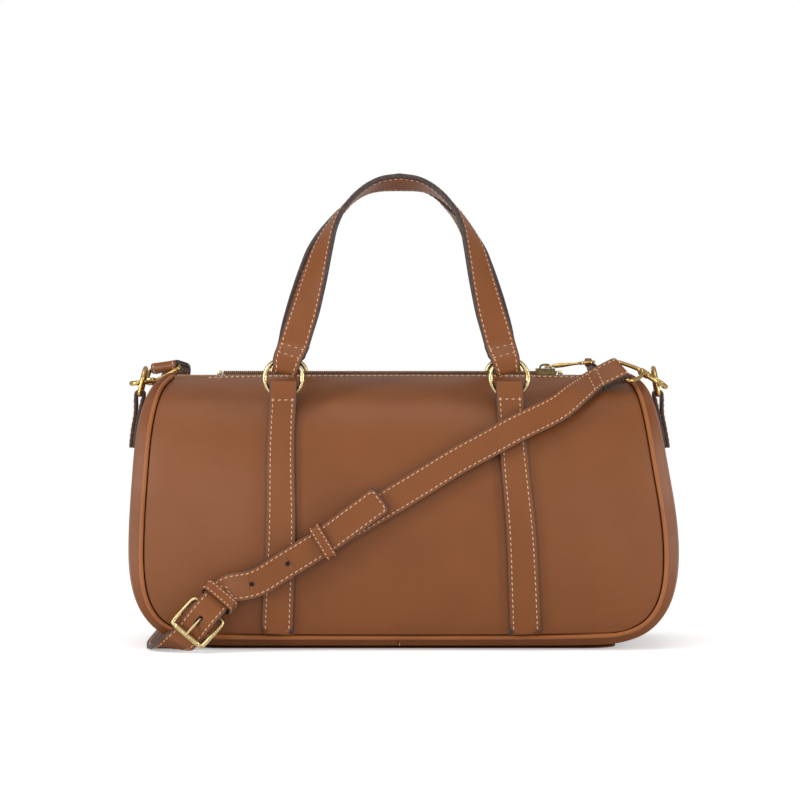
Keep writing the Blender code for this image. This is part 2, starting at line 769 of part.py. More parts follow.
def add_handle(name, side):
    """A flat strap that turns edge-on as it rises, with a folded loop round a ring at each end."""
    drop = BACK_HANDLE_DROP if side > 0 else 0.0
    half = loop_half()
    middle_x = HANDLE_OFFSET + lean(RING_Z)
    fold_z = RING_Z + GAP + TAB_THICKNESS / 2 + half
    ring_top = RING_Z + RING_RADIUS
    loop_top = ring_top + LOOP_UNDERLAP / 2
    outer = RING_Y - half
    turn_start, turn_run, tilt_run = HANDLE_TURN_SHARES
    leg = []
    for spread, rise in HANDLE_SHARES:
        y = HANDLE_TOP_Y + (outer - HANDLE_TOP_Y) * (1 - rise) ** HANDLE_LEAN_POWER
        z = RING_Z + rise * (HANDLE_RISE - drop)
        turn = HANDLE_TWIST * (1 - smoothstep((spread - turn_start) / turn_run))
        tilt = HANDLE_TILT * (1 - smoothstep(spread / tilt_run))
        leg.append((-spread * HANDLE_SPREAD, y, max(z, fold_z + half), turn, tilt))
    path = smooth_path(leg, 18)
    centres, widths, thick = [], [], []

    def put(x, y, z, across, thickness):
        centres.append(vec(middle_x + x, -side * y, z))
        widths.append(HANDLE_WIDTH * unit(vec(across[0], -side * across[1], across[2])))
        thick.append(thickness)

    def loop(sign):
        """Points of one end loop, from the strap down the outer ply, round the fold and up the inner ply."""
        x = sign * HANDLE_SPREAD
        found = [(x, outer, fold_z + (loop_top - fold_z) * share) for share in (0.55, 0.0)]
        for k in range(1, 6):
            a = math.pi * k / 6
            found.append((x, RING_Y - half * math.cos(a), fold_z - half * math.sin(a)))
        found.append((x, RING_Y + half, fold_z))
        found.append((x, RING_Y + half, ring_top))
        found.append((x, RING_Y + half * 0.55, loop_top - GAP))
        return found

    taper = HANDLE_THICKNESS - TAB_THICKNESS
    legs = []
    for x, y, z, turn, tilt in path:
        across = (
            math.cos(turn),
            -math.sin(turn) * math.cos(tilt),
            math.sin(turn) * math.sin(tilt),
        )
        thinned = taper * smoothstep((loop_top + HANDLE_TAPER_RUN / 2 - z) / HANDLE_TAPER_RUN)
        legs.append((x, y, z, across, HANDLE_THICKNESS - thinned))
    narrow = TAB_TOP_WIDTH / HANDLE_WIDTH
    for x, y, z in reversed(loop(-1)):
        put(x, y, z, (narrow, 0, 0), TAB_THICKNESS)
    for x, y, z, across, t in reversed(legs[:-1]):
        put(x, y, z, across, t)
    for x, y, z, across, t in legs[1:-1]:
        put(-x, y, z, (-across[0], across[1], across[2]), t)
    for x, y, z in loop(1):
        put(x, y, z, (-narrow, 0, 0), TAB_THICKNESS)
    swing = vec(middle_x - HANDLE_SPREAD, -side * RING_Y, 2 * RING_Z - ring_axis_z())
    ribbon(name, centres, widths, thick, LEATHER, origin=swing, chamfer_share=HANDLE_EDGE_SHARE)


# Zip


def add_zip_side(name, side):
    """One side's tape, and its row of teeth standing on it."""
    profile = [
        (TAPE_HALF_WIDTH, TAPE_TOP - TAPE_EDGE_DROP), (TAPE_BEND, TAPE_TOP - TAPE_DROP),
        (TAPE_FLAT, TAPE_TOP), (CHAIN_SLIT / 2, TAPE_TOP),
    ]
    outline = profile + [(y, z - TAPE_THICKNESS) for y, z in reversed(profile)]
    outline = [(side * y, z) for y, z in outline]
    if side < 0:
        outline = outline[::-1]
    shift = lean(BODY_HEIGHT)
    add_prism(
        f"zip_tape_{name}", outline, shift - ZIP_HALF_LENGTH, shift + ZIP_HALF_LENGTH, ZIP_BROWN, "x"
    )
    count = round((CHAIN_RIGHT - CHAIN_LEFT) / TOOTH_PITCH)
    pitch = (CHAIN_RIGHT - CHAIN_LEFT) / count
    near, root = CHAIN_SLIT / 2, CHAIN_SLIT / 2 + TOOTH_LENGTH
    outline = [(CHAIN_RIGHT, root + TOOTH_SPINE), (CHAIN_LEFT, root + TOOTH_SPINE)]
    for k in range(count):
        start = CHAIN_LEFT + k * pitch
        end = start + pitch * (1 - TOOTH_GAP_SHARE)
        outline += [(start, near), (end, near), (end, root)]
        if k + 1 < count:
            outline.append((start + pitch, root))
    outline[-1:] = [(CHAIN_RIGHT - pitch * TOOTH_GAP_SHARE, root), (CHAIN_RIGHT, root)]
    outline = [(x, side * y) for x, y in outline]
    if side < 0:
        outline = outline[::-1]
    add_prism(f"zip_teeth_{name}", outline, TOOTH_FOOT, TOOTH_TOP, BRASS)


def add_stops():
    """Two small blocks above the right end of the chain, and one bar across its left end."""
    root = CHAIN_SLIT / 2 + TOOTH_LENGTH
    for name, side in (("front", -1), ("back", 1)):
        low, high = sorted((side * CHAIN_SLIT / 2, side * root))
        start = CHAIN_RIGHT + GAP
        add_box(
            f"zip_stop_{name}", (start, low, TOOTH_FOOT), (start + STOP_LENGTH, high, TOOTH_TOP), BRASS
        )
    end = CHAIN_LEFT - GAP
    add_box("zip_end_stop", (end - STOP_LENGTH, -root, TOOTH_FOOT), (end, root, TOOTH_TOP), BRASS)


def pull_axis():
    """Where the puller turns, in the hollow of the slider's crown."""
    return vec(SLIDER_X, 0, PLATE_TOP + (CROWN_RISE - CROWN_WIRE / 2) / 2)


def add_slider():
    inner = CHAIN_SLIT / 2 + TOOTH_LENGTH + TOOTH_SPINE + GAP
    outer = inner + SLIDER_FLANGE
    post = CHAIN_SLIT / 2 - GAP
    low = TAPE_TOP - TAPE_THICKNESS - GAP
    under, foot = TOOTH_TOP + GAP, TAPE_TOP + GAP
    half = [
        (inner, low - SLIDER_PLATE), (inner, low), (post, low), (post, under), (inner, under), (inner, foot),
        (outer, foot), (outer, PLATE_TOP),
    ]
    outline = half + [(-y, z) for y, z in reversed(half)]
    start = SLIDER_X - SLIDER_LENGTH / 2
    origin = vec(SLIDER_X, 0, TAPE_TOP)
    slider = add_prism("zip_slider", outline, start, start + SLIDER_LENGTH, BRASS, "x", origin)
    arch = []
    for k in range(9):
        a = math.pi * k / 8
        arch.append(vec(
            SLIDER_X - CROWN_HALF * math.cos(a),
            0,
            PLATE_TOP - SLIDER_PLATE / 2 + (CROWN_RISE + SLIDER_PLATE / 2) * math.sin(a) ** 0.5,
        ))
    crown = rod("slider_crown", arch, CROWN_WIRE / 2, BRASS, first_normal=vec(0, 1, 0))
    join_with(slider, [crown])


def add_puller():
    """A pin under the crown, two short arms, a bar and a ring, with a folded leather tab on the ring."""
    axis = pull_axis()
    along = vec(math.cos(PULL_ANGLE), 0, math.sin(PULL_ANGLE))
    up = vec(-math.sin(PULL_ANGLE), 0, math.cos(PULL_ANGLE))
    side = vec(0, 1, 0)
    pin = (CROWN_RISE - CROWN_WIRE / 2) / 2 - GAP
    arm = CROWN_WIRE / 2 + GAP + pin
    reach = CROWN_HALF + CROWN_WIRE
    loop = [
        axis - arm * side, axis, axis + arm * side,
        axis + reach * 0.5 * along + arm * side, axis + reach * along + arm * 0.8 * side,
        axis + (reach + pin) * along, axis + reach * along - arm * 0.8 * side,
        axis + reach * 0.5 * along - arm * side,
    ]
    puller = rod("zip_puller", loop, pin, BRASS, closed=True, origin=axis, sides=6)
    centre = axis + PULL_LENGTH * along
    ring_edge = PULL_LENGTH - PULL_RING_RADIUS
    stem = np.linspace(reach + pin * 0.4, ring_edge + PULL_WIRE * 0.2, 8)
    shares = (1.0, 1.45, 1.45, 1.25, 1.0, 0.8, 0.65, 0.6)
    bar = rod(
        "puller_bar", [axis + d * along for d in stem], [share * PULL_WIRE / 2 for share in shares], BRASS,
    )
    circle = []
    for k in range(18):
        a = 2 * math.pi * k / 18
        circle.append(centre + PULL_RING_RADIUS * (math.cos(a) * along + math.sin(a) * side))
    ring = rod("puller_ring", circle, PULL_WIRE / 2, BRASS, closed=True, sides=6, first_normal=up)
    join_with(puller, [bar, ring])
    out = unit(PULL_TAB_WAY[0] * along + PULL_TAB_WAY[1] * side)
    wire = centre + PULL_RING_RADIUS * out
    heading = unit(out - PULL_TAB_DROP * vec(0, 0, 1))
    rise = unit(vec(0, 0, 1) - np.dot(vec(0, 0, 1), heading) * heading)
    across = PULL_TAB_WIDTH * np.cross(heading, rise)
    neck = PULL_TAB_WIDTH * PULL_TAB_NECK_SHARE
    sag = PULL_RING_RADIUS - math.sqrt(PULL_RING_RADIUS**2 - neck**2 / 4)
    far = PULL_WIRE / 2 + sag / 2 + GAP + PULL_TAB_THICKNESS / 2
    near = GAP / 2 + PULL_TAB_THICKNESS / 2
    plan = [(PULL_TAB_LENGTH, near), (PULL_TAB_LENGTH / 2, near), (3.2 * far, 1.35 * near)]
    middle = wire - sag / 2 * heading
    centres = [wire + d * heading + h * rise for d, h in plan]
    centres += [
        middle + far * (-math.sin(a) * heading + math.cos(a) * rise)
        for a in (math.pi * k / 6 for k in range(7))
    ]
    centres += [wire + d * heading - h * rise for d, h in reversed(plan)]
    half_narrow = (1, 1, 0.62)
    narrow = [*half_narrow, *[PULL_TAB_NECK_SHARE] * 7, *reversed(half_narrow)]
    widths = [share * across for share in narrow]
    ribbon("zip_pull_tab", centres, widths, PULL_TAB_THICKNESS, LEATHER, origin=wire)


# Ends of the body: tabs, D-rings and swivel hooks


def side_loop_radius():
    return SIDE_RING_WIRE / 2 + GAP + TAB_THICKNESS / 2


def side_bar(sign):
    """The middle of a D-ring's straight bar, inside its tab."""
    out = gusset_out(SIDE_RING_Z - SIDE_LOOP_DROP) + GAP + TAB_THICKNESS / 2 + side_loop_radius()
    return vec(sign * out + lean(SIDE_RING_Z), 0, SIDE_RING_Z)


def add_side_tab(name, sign):
    """A tab up the gusset, over its D-ring's bar and down again on top of itself."""
    bar = side_bar(sign)
    radius = side_loop_radius()
    near = 2 * GAP + TAB_THICKNESS / 2
    far = near + TAB_THICKNESS + GAP

    def at(z, lift):
        step = TAB_THICKNESS
        slope = (gusset_out(z + step) - gusset_out(z - step)) / (2 * step)
        normal = unit(vec(1, 0, -slope))
        x = gusset_out(z) + lift * normal[0]
        return vec(sign * x + lean(z), 0, z + lift * normal[2])

    heights = BODY_HEIGHT * np.linspace(SIDE_TAB_FOOT_SHARE, SIDE_TAB_JOIN_SHARE, 5)
    centres = [at(z, near) for z in heights]
    centres += [
        bar + radius * vec(-sign * math.cos(a), 0, math.sin(a))
        for a in (math.pi * k / 6 for k in range(7))
    ]
    centres += [at(z, far) for z in heights[::-1]]
    across = [vec(0, SIDE_TAB_WIDTH, 0)] * len(centres)
    ribbon(name, centres, across, TAB_THICKNESS, LEATHER)


def add_side_ring(name, sign, tilt):
    bar = side_bar(sign)
    up = vec(-sign * math.sin(tilt), 0, math.cos(tilt))
    side = vec(0, 1, 0)
    corner = 0.6 * SIDE_RING_WIRE
    plan = [(-SIDE_RING_HALF + corner, 0), (0, 0), (SIDE_RING_HALF - corner, 0)]
    plan += [(SIDE_RING_HALF - 0.3 * corner, 0.3 * corner), (SIDE_RING_HALF, corner)]
    for k in range(9):
        a = math.pi * k / 8
        plan.append((
            SIDE_RING_HALF * math.cos(a),
            SIDE_RING_STRAIGHT + (SIDE_RING_HEIGHT - SIDE_RING_STRAIGHT) * math.sin(a),
        ))
    plan += [(-SIDE_RING_HALF, corner), (-SIDE_RING_HALF + 0.3 * corner, 0.3 * corner)]
    points = [bar + y * side + h * up for y, h in plan]
    rod(name, points, SIDE_RING_WIRE / 2, BRASS, closed=True, origin=bar, first_normal=vec(sign, 0, 0))


def turned(name, base, axis, profile, look, sides=12, origin=None):
    """A solid of revolution. The profile holds a radius and a place along the axis, from axis to axis."""
    axis = unit(np.asarray(axis, float))
    rough = vec(0.31, 0.87, 0.38)
    first = unit(rough - np.dot(rough, axis) * axis)
    second = np.cross(axis, first)
    points, rings = [], []
    for radius, along in profile:
        centre = base + along * axis
        if radius == 0:
            rings.append([len(points)])
            points.append(centre)
            continue
        rings.append(list(range(len(points), len(points) + sides)))
        for k in range(sides):
            a = 2 * math.pi * k / sides
            points.append(centre + radius * (math.cos(a) * first + math.sin(a) * second))
    faces = []
    pairs = list(zip(rings, rings[1:]))
    if len(rings[0]) > 1:
        pairs.append((rings[-1], rings[0]))
    for low, high in pairs:
        if len(low) == len(high) == 1:
            continue
        for k in range(sides):
            n = (k + 1) % sides
            if len(low) == 1:
                faces.append((low[0], high[n], high[k]))
            elif len(high) == 1:
                faces.append((low[k], low[n], high[0]))
            else:
                faces.append((low[k], low[n], high[n], high[k]))
    return add_mesh(name, points, faces, look, origin)


def eye_bar(sign):
    """The middle of an eye's straight bar, and the bar's direction."""
    away, across = RIGHT_EYE if sign > 0 else LEFT_EYE
    return side_bar(sign) + np.asarray(away, float), unit(np.asarray(across, float))


def hook_frame(sign):
    """A hook's middle, and its unit directions to the nose and to the gate."""
    away, nose, gate = (np.asarray(row, float) for row in (RIGHT_HOOK if sign > 0 else LEFT_HOOK))
    middle = side_bar(sign) + away
    nose = unit(nose)
    gate = unit(gate - np.dot(gate, nose) * nose)
    return middle, nose, gate


def hook_outline(start, end, steps=6):
    """Points round a hook's oval from one place on the gate side to another, the long way round its base."""
    straight = HOOK_HALF_LENGTH - HOOK_HALF_WIDTH
    plan = [(start, HOOK_HALF_WIDTH)]
    for centre, first in ((-straight, math.pi / 2), (straight, -math.pi / 2)):
        for k in range(steps + 1):
            a = first + math.pi * k / steps
            plan.append((centre + HOOK_HALF_WIDTH * math.cos(a), HOOK_HALF_WIDTH * math.sin(a)))
    plan.append((end, HOOK_HALF_WIDTH))
    return plan


def add_hook(name, sign):
    middle, nose, gate = hook_frame(sign)
    bar, across = eye_bar(sign)
    back = HOOK_HALF_LENGTH + HOOK_WIRE / 2
    face = back + GAP
    hub_start = middle - face * nose
    wire_at = middle - (face + HUB_LENGTH - EYE_WIRE / 2) * nose

    plan = hook_outline(-GATE_HALF - GAP, GATE_HALF + GAP)
    points = [middle + a * nose + b * gate for a, b in plan]
    body = rod(f"{name}_hook_body", points, HOOK_WIRE / 2, BRASS, origin=hub_start)
    boss = turned(
        f"{name}_boss", middle, -nose,
        (
            (0, HOOK_HALF_LENGTH - HOOK_WIRE * 0.3), (BOSS_RADIUS, HOOK_HALF_LENGTH - HOOK_WIRE * 0.3),
            (BOSS_RADIUS, back), (STEM_RADIUS, back), (STEM_RADIUS, face + HUB_BORE_DEPTH - GAP),
            (0, face + HUB_BORE_DEPTH - GAP),
        ),
        BRASS,
    )
    join_with(body, [boss])
    start = middle - GATE_HALF * nose + HOOK_HALF_WIDTH * gate
    gate_points = [start + share * 2 * GATE_HALF * nose for share in (0, 0.5, 1)]
    rod(f"{name}_hook_gate", gate_points, GATE_WIRE / 2, BRASS, origin=start)

    hub = turned(
        f"{name}_hub", hub_start, -nose,
        (
            (COLLAR_RADIUS, 0), (COLLAR_RADIUS, HUB_LENGTH), (0, HUB_LENGTH), (0, HUB_BORE_DEPTH),
            (STEM_RADIUS + GAP, HUB_BORE_DEPTH), (STEM_RADIUS + GAP, 0),
        ),
        BRASS,
    )
    reach = wire_at - bar
    inward = unit(reach - np.dot(reach, across) * across)
    shoulder = EYE_HALF * 0.42 * inward
    corner = EYE_WIRE * 0.6
    loop = [bar + (EYE_HALF - corner) * across, bar, bar - (EYE_HALF - corner) * across]
    for sign in (-1, 1):
        arm = [
            bar + sign * (EYE_HALF - 0.3 * corner) * across + 0.3 * corner * inward,
            bar + sign * EYE_HALF * across + corner * inward,
            bar + sign * EYE_HALF * across + shoulder,
            wire_at + sign * EYE_HALF * 0.52 * across - 0.30 * EYE_HALF * inward,
            wire_at + sign * EYE_HALF * 0.16 * across,
        ]
        loop += arm if sign < 0 else arm[::-1]
    facing = np.cross(across, inward)
    eye_wire = rod(
        f"{name}_hook_eye", loop, EYE_WIRE / 2, BRASS, closed=True, origin=bar, first_normal=facing
    )
    join_with(eye_wire, [hub])


# Shoulder strap


def fold(bar, heading, normal, wire_radius, lap, steps=6):
    """The middle line of a strap's end from above a bar, round it and back under, with its thickness."""
    under = UNDER_THICKNESS
    found = []
    for k in range(steps + 1):
        a = math.pi * k / steps
        thickness = STRAP_THICKNESS + (under - STRAP_THICKNESS) * k / steps
        radius = wire_radius + GAP + thickness / 2
        found.append((bar + radius * (math.cos(a) * normal + math.sin(a) * heading), thickness))
    above = wire_radius + GAP
    closed_up = above - GAP - under / 2
    below = -(above + under / 2)
    for share, blend in FOLD_SHARES:
        height = below + (closed_up - below) * blend
        found.append((bar - share * lap * heading + height * normal, under))
    return found


def buckle_frame_axes():
    reach = unit(np.asarray(BUCKLE_REACH, float))
    across = np.asarray(BUCKLE_ACROSS, float)
    across = unit(across - np.dot(across, reach) * reach)
    out = np.cross(reach, across)
    if out[1] > 0:
        out = -out
    x, y, z = PIVOT_SHARES
    return vec(x * BODY_WIDTH / 2, y * DEPTH_HALF, z * BODY_HEIGHT), reach, across, out


def right_end_axes():
    bar, across = eye_bar(1)
    heading = np.asarray(RIGHT_REACH, float)
    heading = unit(heading - np.dot(heading, across) * across)
    out = np.cross(across, heading)
    return bar, heading, across, out if out[2] > 0 else -out


def strap_route():
    """The buckle strap's middle line from the right eye down to the pivot, with its outward normal."""
    bar, heading, _, out = right_end_axes()
    top = bar + (EYE_WIRE / 2 + GAP + STRAP_THICKNESS / 2) * out
    rows = [(*top, *out), (*(top - 0.5 * EYE_UNDERLAP * heading), *out)]
    rows.append((*(top - 1.1 * EYE_UNDERLAP * heading), *out))
    for x_share, z_share, lifts, stiff in ROUTE_SHARES:
        x, z = x_share * BODY_WIDTH, z_share * BODY_HEIGHT
        tilt = panel_normal(x, row_at(x, z))[2]
        t = row_at(x, z - lifts * STRAP_LIFT * tilt)
        normal = panel_normal(x, t)
        point = panel_point(x, t) + lifts * STRAP_LIFT * normal
        normal = unit((1 - stiff) * normal + stiff * vec(0, -1, 0))
        rows.append((*point, *normal))
    pivot, reach, _, out = buckle_frame_axes()
    above = pivot + (BUCKLE_WIRE / 2 + GAP + STRAP_THICKNESS / 2) * out
    for back in (1.25, 0.75, 0.0):
        rows.append((*(above - back * BUCKLE_LAP * reach), *out))
    path = smooth_path(rows, 56)
    centres = path[:, :3]
    tangents = np.gradient(centres, axis=0)
    normals = []
    for tangent, normal in zip(tangents, path[:, 3:]):
        tangent = unit(tangent)
        normals.append(unit(normal - np.dot(normal, tangent) * tangent))
    return centres, np.array(normals), tangents


def add_buckle_strap(route):
    centres, normals, tangents = route
    bar, heading, across, out = right_end_axes()
    sense = 1 if np.dot(np.cross(normals[0], tangents[0]), across) > 0 else -1
    points, widths, thick = [], [], []
    for point, t in reversed(fold(bar, heading, out, EYE_WIRE / 2, EYE_UNDERLAP)[1:]):
        points.append(point)
        widths.append(sense * STRAP_WIDTH * across)
        thick.append(t)
    for centre, normal, tangent in zip(centres, normals, tangents):
        points.append(centre)
        widths.append(STRAP_WIDTH * unit(np.cross(normal, tangent)))
        thick.append(STRAP_THICKNESS)
    pivot, reach, across, out = buckle_frame_axes()
    for point, t in fold(pivot, reach, out, BUCKLE_WIRE / 2, BUCKLE_LAP)[1:]:
        points.append(point)
        widths.append(widths[-1])
        thick.append(t)
    strap = ribbon("buckle_strap", points, widths, thick, LEATHER)
    slot = slot_cutter(
        "prong_slot", PRONG_SLOT, -0.55 * BUCKLE_LAP, 2.4 * BUCKLE_WIRE, -2 * BUCKLE_WIRE, 1.6 * BUCKLE_WIRE
    )
    join_with(strap, [slot], "DIFFERENCE")


def slot_cutter(name, width, back, front, low, high):
    """A box in the buckle's own directions: across, along its reach and out from it."""
    pivot, reach, across, out = buckle_frame_axes()
    handed = 1 if np.dot(np.cross(across, reach), out) > 0 else -1
    points = []
    for n in (low, high):
        for r, a in ((-1, back), (1, back), (1, front), (-1, front)):
            points.append(pivot + handed * r * width / 2 * across + a * reach + n * out)
    faces = [(0, 3, 2, 1), (4, 5, 6, 7), (0, 1, 5, 4), (1, 2, 6, 5), (2, 3, 7, 6), (3, 0, 4, 7)]
    return add_mesh(name, points, faces, LEATHER)


def hole_cutter(name, centre, out):
    """A round cutter through the top strap only, along out."""
    first = unit(np.cross(out, vec(0, 0, 1)))
    second = np.cross(out, first)
    points = []
    for n in (-1, 1):
        for k in range(HOLE_SIDES):
            a = 2 * math.pi * k / HOLE_SIDES
            ring = math.cos(a) * first + math.sin(a) * second
            points.append(centre + HOLE_DIAMETER / 2 * ring + n * STRAP_THICKNESS * out)
    count = HOLE_SIDES
    faces = [tuple(range(count))[::-1], tuple(range(count, 2 * count))]
    for k in range(count):
        after = (k + 1) % count
        faces.append((k, after, count + after, count + k))
    return add_mesh(name, points, faces, LEATHER)


def sliding_keeper_row(centres):
    """The point of the strap's middle line that the sliding keeper sits on."""
    return int(np.argmin(np.abs(centres[:, 0] - SLIDING_KEEPER_SHARE * BODY_WIDTH)))


def add_hole_strap(route):
    centres, normals, tangents = route
    count = len(centres)
    first = sliding_keeper_row(centres)
    steps = np.linalg.norm(np.diff(centres, axis=0), axis=1)
    rows = []
    run = 0.0
    walk = []
    for k in range(first, 0, -1):
        if run > TAIL_LENGTH:
            break
        walk.append((k, run))
        run += steps[k - 1]
    for k, run in reversed(walk[1:]):
        share = min(run / TAIL_LENGTH, 1.0)
        side = unit(np.cross(normals[k], tangents[k]))
        side = side if side[2] > 0 else -side
        lift = STRAP_THICKNESS + PLY_GAP + TAIL_STAND * share
        point = centres[k] + lift * normals[k] + run * math.tan(TAIL_TURN) * side
        rows.append((*point, *normals[k]))
    for k in range(first, count - 1):
        rows.append((*(centres[k] + (STRAP_THICKNESS + PLY_GAP) * normals[k]), *normals[k]))
    pivot, reach, across, out = buckle_frame_axes()
    shares = list(BUCKLE_PASS_SHARES)
    for k, (s, n) in enumerate(shares):
        a, b = shares[max(k - 1, 0)], shares[min(k + 1, len(shares) - 1)]
        slope = np.array((b[0] - a[0], b[1] - a[1]))
        slope = slope / np.linalg.norm(slope)
        normal = unit(slope[0] * out - slope[1] * reach)
        rows.append((*(pivot + BUCKLE_LENGTH * (s * reach + n * out)), *normal))
    path = smooth_path(rows, 48)
    points = list(path[:, :3])
    tangents = np.gradient(path[:, :3], axis=0)
    widths = [STRAP_WIDTH * unit(np.cross(row[3:], t)) for row, t in zip(path, tangents)]
    sense = 1 if np.dot(widths[-1], across) > 0 else -1
    tail = path[: int(np.argmin(np.linalg.norm(path[:, :3] - pivot, axis=1)))]
    cutters = []
    for k, hole_share in enumerate(HOLE_SHARES):
        row = tail[int(np.argmin(np.abs(tail[:, 0] - hole_share * BODY_WIDTH)))]
        cutters.append(hole_cutter(f"spare_hole_{k + 1}", row[:3], unit(row[3:])))

    bar, end_across = eye_bar(-1)
    end_heading = np.asarray(LEFT_REACH, float)
    end_heading = unit(end_heading - np.dot(end_heading, end_across) * end_across)
    end_out = np.cross(end_across, end_heading)
    end_out = end_out if end_out[2] > 0 else -end_out
    above = bar + (EYE_WIRE / 2 + GAP + STRAP_THICKNESS / 2) * end_out
    rest = [(*points[-1], *(sense * unit(widths[-1])))]
    for x, y, z, tilt in STRAP_RETURN_SHARES:
        place = vec(x * BODY_WIDTH / 2, y * DEPTH_HALF, z * BODY_HEIGHT)
        level = vec(1, 0, 0)
        rest.append((*place, *unit((1 - tilt) * level + tilt * across)))
    for back in (1.1, 0.5, 0.0):
        rest.append((*(above - back * EYE_UNDERLAP * end_heading), *end_across))
    path = smooth_path(rest, 52)[1:]
    for row in path:
        points.append(row[:3])
        widths.append(sense * STRAP_WIDTH * unit(row[3:]))
    thick = [STRAP_THICKNESS] * len(points)
    for point, t in fold(bar, end_heading, end_out, EYE_WIRE / 2, EYE_UNDERLAP)[1:]:
        points.append(point)
        widths.append(sense * STRAP_WIDTH * end_across)
        thick.append(t)
    strap = ribbon("hole_strap", points, widths, thick, LEATHER)
    prong_n = BUCKLE_WIRE / 2 + GAP + PRONG_WIRE / 2
    hole = slot_cutter(
        "prong_hole", PRONG_WIRE + 3 * GAP, 0.25 * BUCKLE_LENGTH, 0.85 * BUCKLE_LENGTH,
        prong_n - PRONG_WIRE / 2 - 2 * GAP, prong_n + 1.5 * PRONG_WIRE,
    )
    join_with(strap, [hole, *cutters], "DIFFERENCE")


def add_buckle():
    pivot, reach, across, out = buckle_frame_axes()
    half, corner, tight = BUCKLE_HALF_WIDTH, BUCKLE_CORNER, ROLLER_CORNER
    plan = [(s, 0.0, BUCKLE_WIRE) for s in (-half + corner, 0, half - corner)]

    def turn(centre_r, centre_s, first, radius):
        for k in range(1, 4):
            a = first + math.pi / 2 * k / 4
            plan.append((centre_r + radius * math.cos(a), centre_s + radius * math.sin(a), BUCKLE_WIRE))

    length = BUCKLE_LENGTH
    turn(half - corner, corner, -math.pi / 2, corner)
    plan.append((half, corner, BUCKLE_WIRE))
    plan.append((half, length - tight, BUCKLE_WIRE))
    turn(half - tight, length - tight, 0, tight)
    narrow = ROLLER_LENGTH / 2 + GAP
    for r in (narrow, narrow - GAP, 0, GAP - narrow, -narrow):
        plan.append((r, length, BUCKLE_WIRE if abs(r) == narrow else ROLLER_BAR))
    turn(tight - half, length - tight, math.pi / 2, tight)
    plan.append((-half, length - tight, BUCKLE_WIRE))
    plan.append((-half, corner, BUCKLE_WIRE))
    turn(corner - half, corner, math.pi, corner)
    points = [pivot + r * across + s * reach for r, s, _ in plan]
    radii = [wire / 2 for _, _, wire in plan]
    rod("buckle_frame", points, radii, BRASS, closed=True, origin=pivot, first_normal=out)
    roller = pivot + length * reach
    bore = ROLLER_BAR / 2 + GAP
    start = roller - ROLLER_LENGTH / 2 * across
    turned(
        "buckle_roller", start, across,
        ((ROLLER_RADIUS, 0), (ROLLER_RADIUS, ROLLER_LENGTH), (bore, ROLLER_LENGTH), (bore, 0)),
        BRASS, origin=roller,
    )
    radius = BUCKLE_WIRE / 2 + GAP + PRONG_WIRE / 2
    eye = []
    for k in range(14):
        a = 2 * math.pi * k / 14
        eye.append(pivot + radius * (math.cos(a) * out + math.sin(a) * reach))
    ring = rod("prong_eye", eye, PRONG_WIRE / 2, BRASS, closed=True, first_normal=across)
    rest = ROLLER_RADIUS + GAP + PRONG_WIRE / 2
    blade = []
    for share, height in ((0.0, radius), (0.35, radius), (0.75, rest), (1.0, rest), (1.07, rest * 0.96)):
        blade.append(pivot + share * length * reach + height * out)
    radii = [PRONG_WIRE / 2 * share for share in (1, 1, 1, 0.9, 0.6)]
    prong = rod("buckle_prong", blade, radii, BRASS, origin=pivot, first_normal=across)
    join_with(prong, [ring])


def add_band(name, centre, across, out, along, half, low, high):
    """A keeper: a band round the straps, with rounded corners."""
    plan = []
    middle, tall = (low + high) / 2, (high - low) / 2
    for r, n in rounded_rectangle(half, tall, KEEPER_CORNER, 3):
        plan.append((r, n + middle))
    sections = []
    count = len(plan)
    for k in range(count):
        before, after = plan[k - 1], plan[(k + 1) % count]
        run = np.array((after[0] - before[0], after[1] - before[1]))
        run = run / np.linalg.norm(run)
        point = centre + plan[k][0] * across + plan[k][1] * out
        facing = run[1] * across - run[0] * out
        w, t = KEEPER_WIDTH / 2 * along, KEEPER_THICKNESS * facing
        sections.append([point - w, point + w, point + w + t, point - w + t])
    handed = np.dot(np.cross(across, out), along)
    if handed < 0:
        sections = [section[::-1] for section in sections]
    return sweep(name, sections, LEATHER, closed=True, origin=centre)


def add_keepers(route):
    centres, normals, tangents = route
    half = STRAP_WIDTH / 2 + KEEPER_ROOM
    top = STRAP_THICKNESS * 1.5 + PLY_GAP + 2 * KEEPER_ROOM
    k = sliding_keeper_row(centres)
    along = unit(tangents[k])
    across = unit(np.cross(normals[k], along))
    low = -STRAP_THICKNESS / 2 - KEEPER_ROOM
    add_band("sliding_keeper", centres[k], across, normals[k], along, half, low, top)
    pivot, reach, across, out = buckle_frame_axes()
    centre = pivot - KEEPER_FROM_PIVOT * reach + (BUCKLE_WIRE / 2 + GAP + STRAP_THICKNESS / 2) * out
    low -= UNDER_THICKNESS + GAP
    add_band("fixed_keeper", centre, across, out, reach, half + GAP, low, top + GAP)


clear_scene()
add_body()
for side, face in ((-1, "front"), (1, "back")):
    for sign, hand in ((-1, "left"), (1, "right")):
        add_tab(f"{face}_tab_{hand}", sign, side)
        centre = ring_centre(sign, side)
        add_ring(f"{face}_ring_{hand}", centre, vec(centre[0], centre[1], ring_axis_z()))
    add_handle(f"{face}_handle", side)
    add_zip_side(face, side)
add_stops()
add_slider()
add_puller()
for sign, hand, tilt in ((-1, "left", LEFT_RING_LEAN), (1, "right", RIGHT_RING_LEAN)):
    add_side_tab(f"side_tab_{hand}", sign)
    add_side_ring(f"side_ring_{hand}", sign, tilt)
    add_hook(hand, sign)
strap = strap_route()
add_buckle_strap(strap)
add_hole_strap(strap)
add_buckle()
add_keepers(strap)
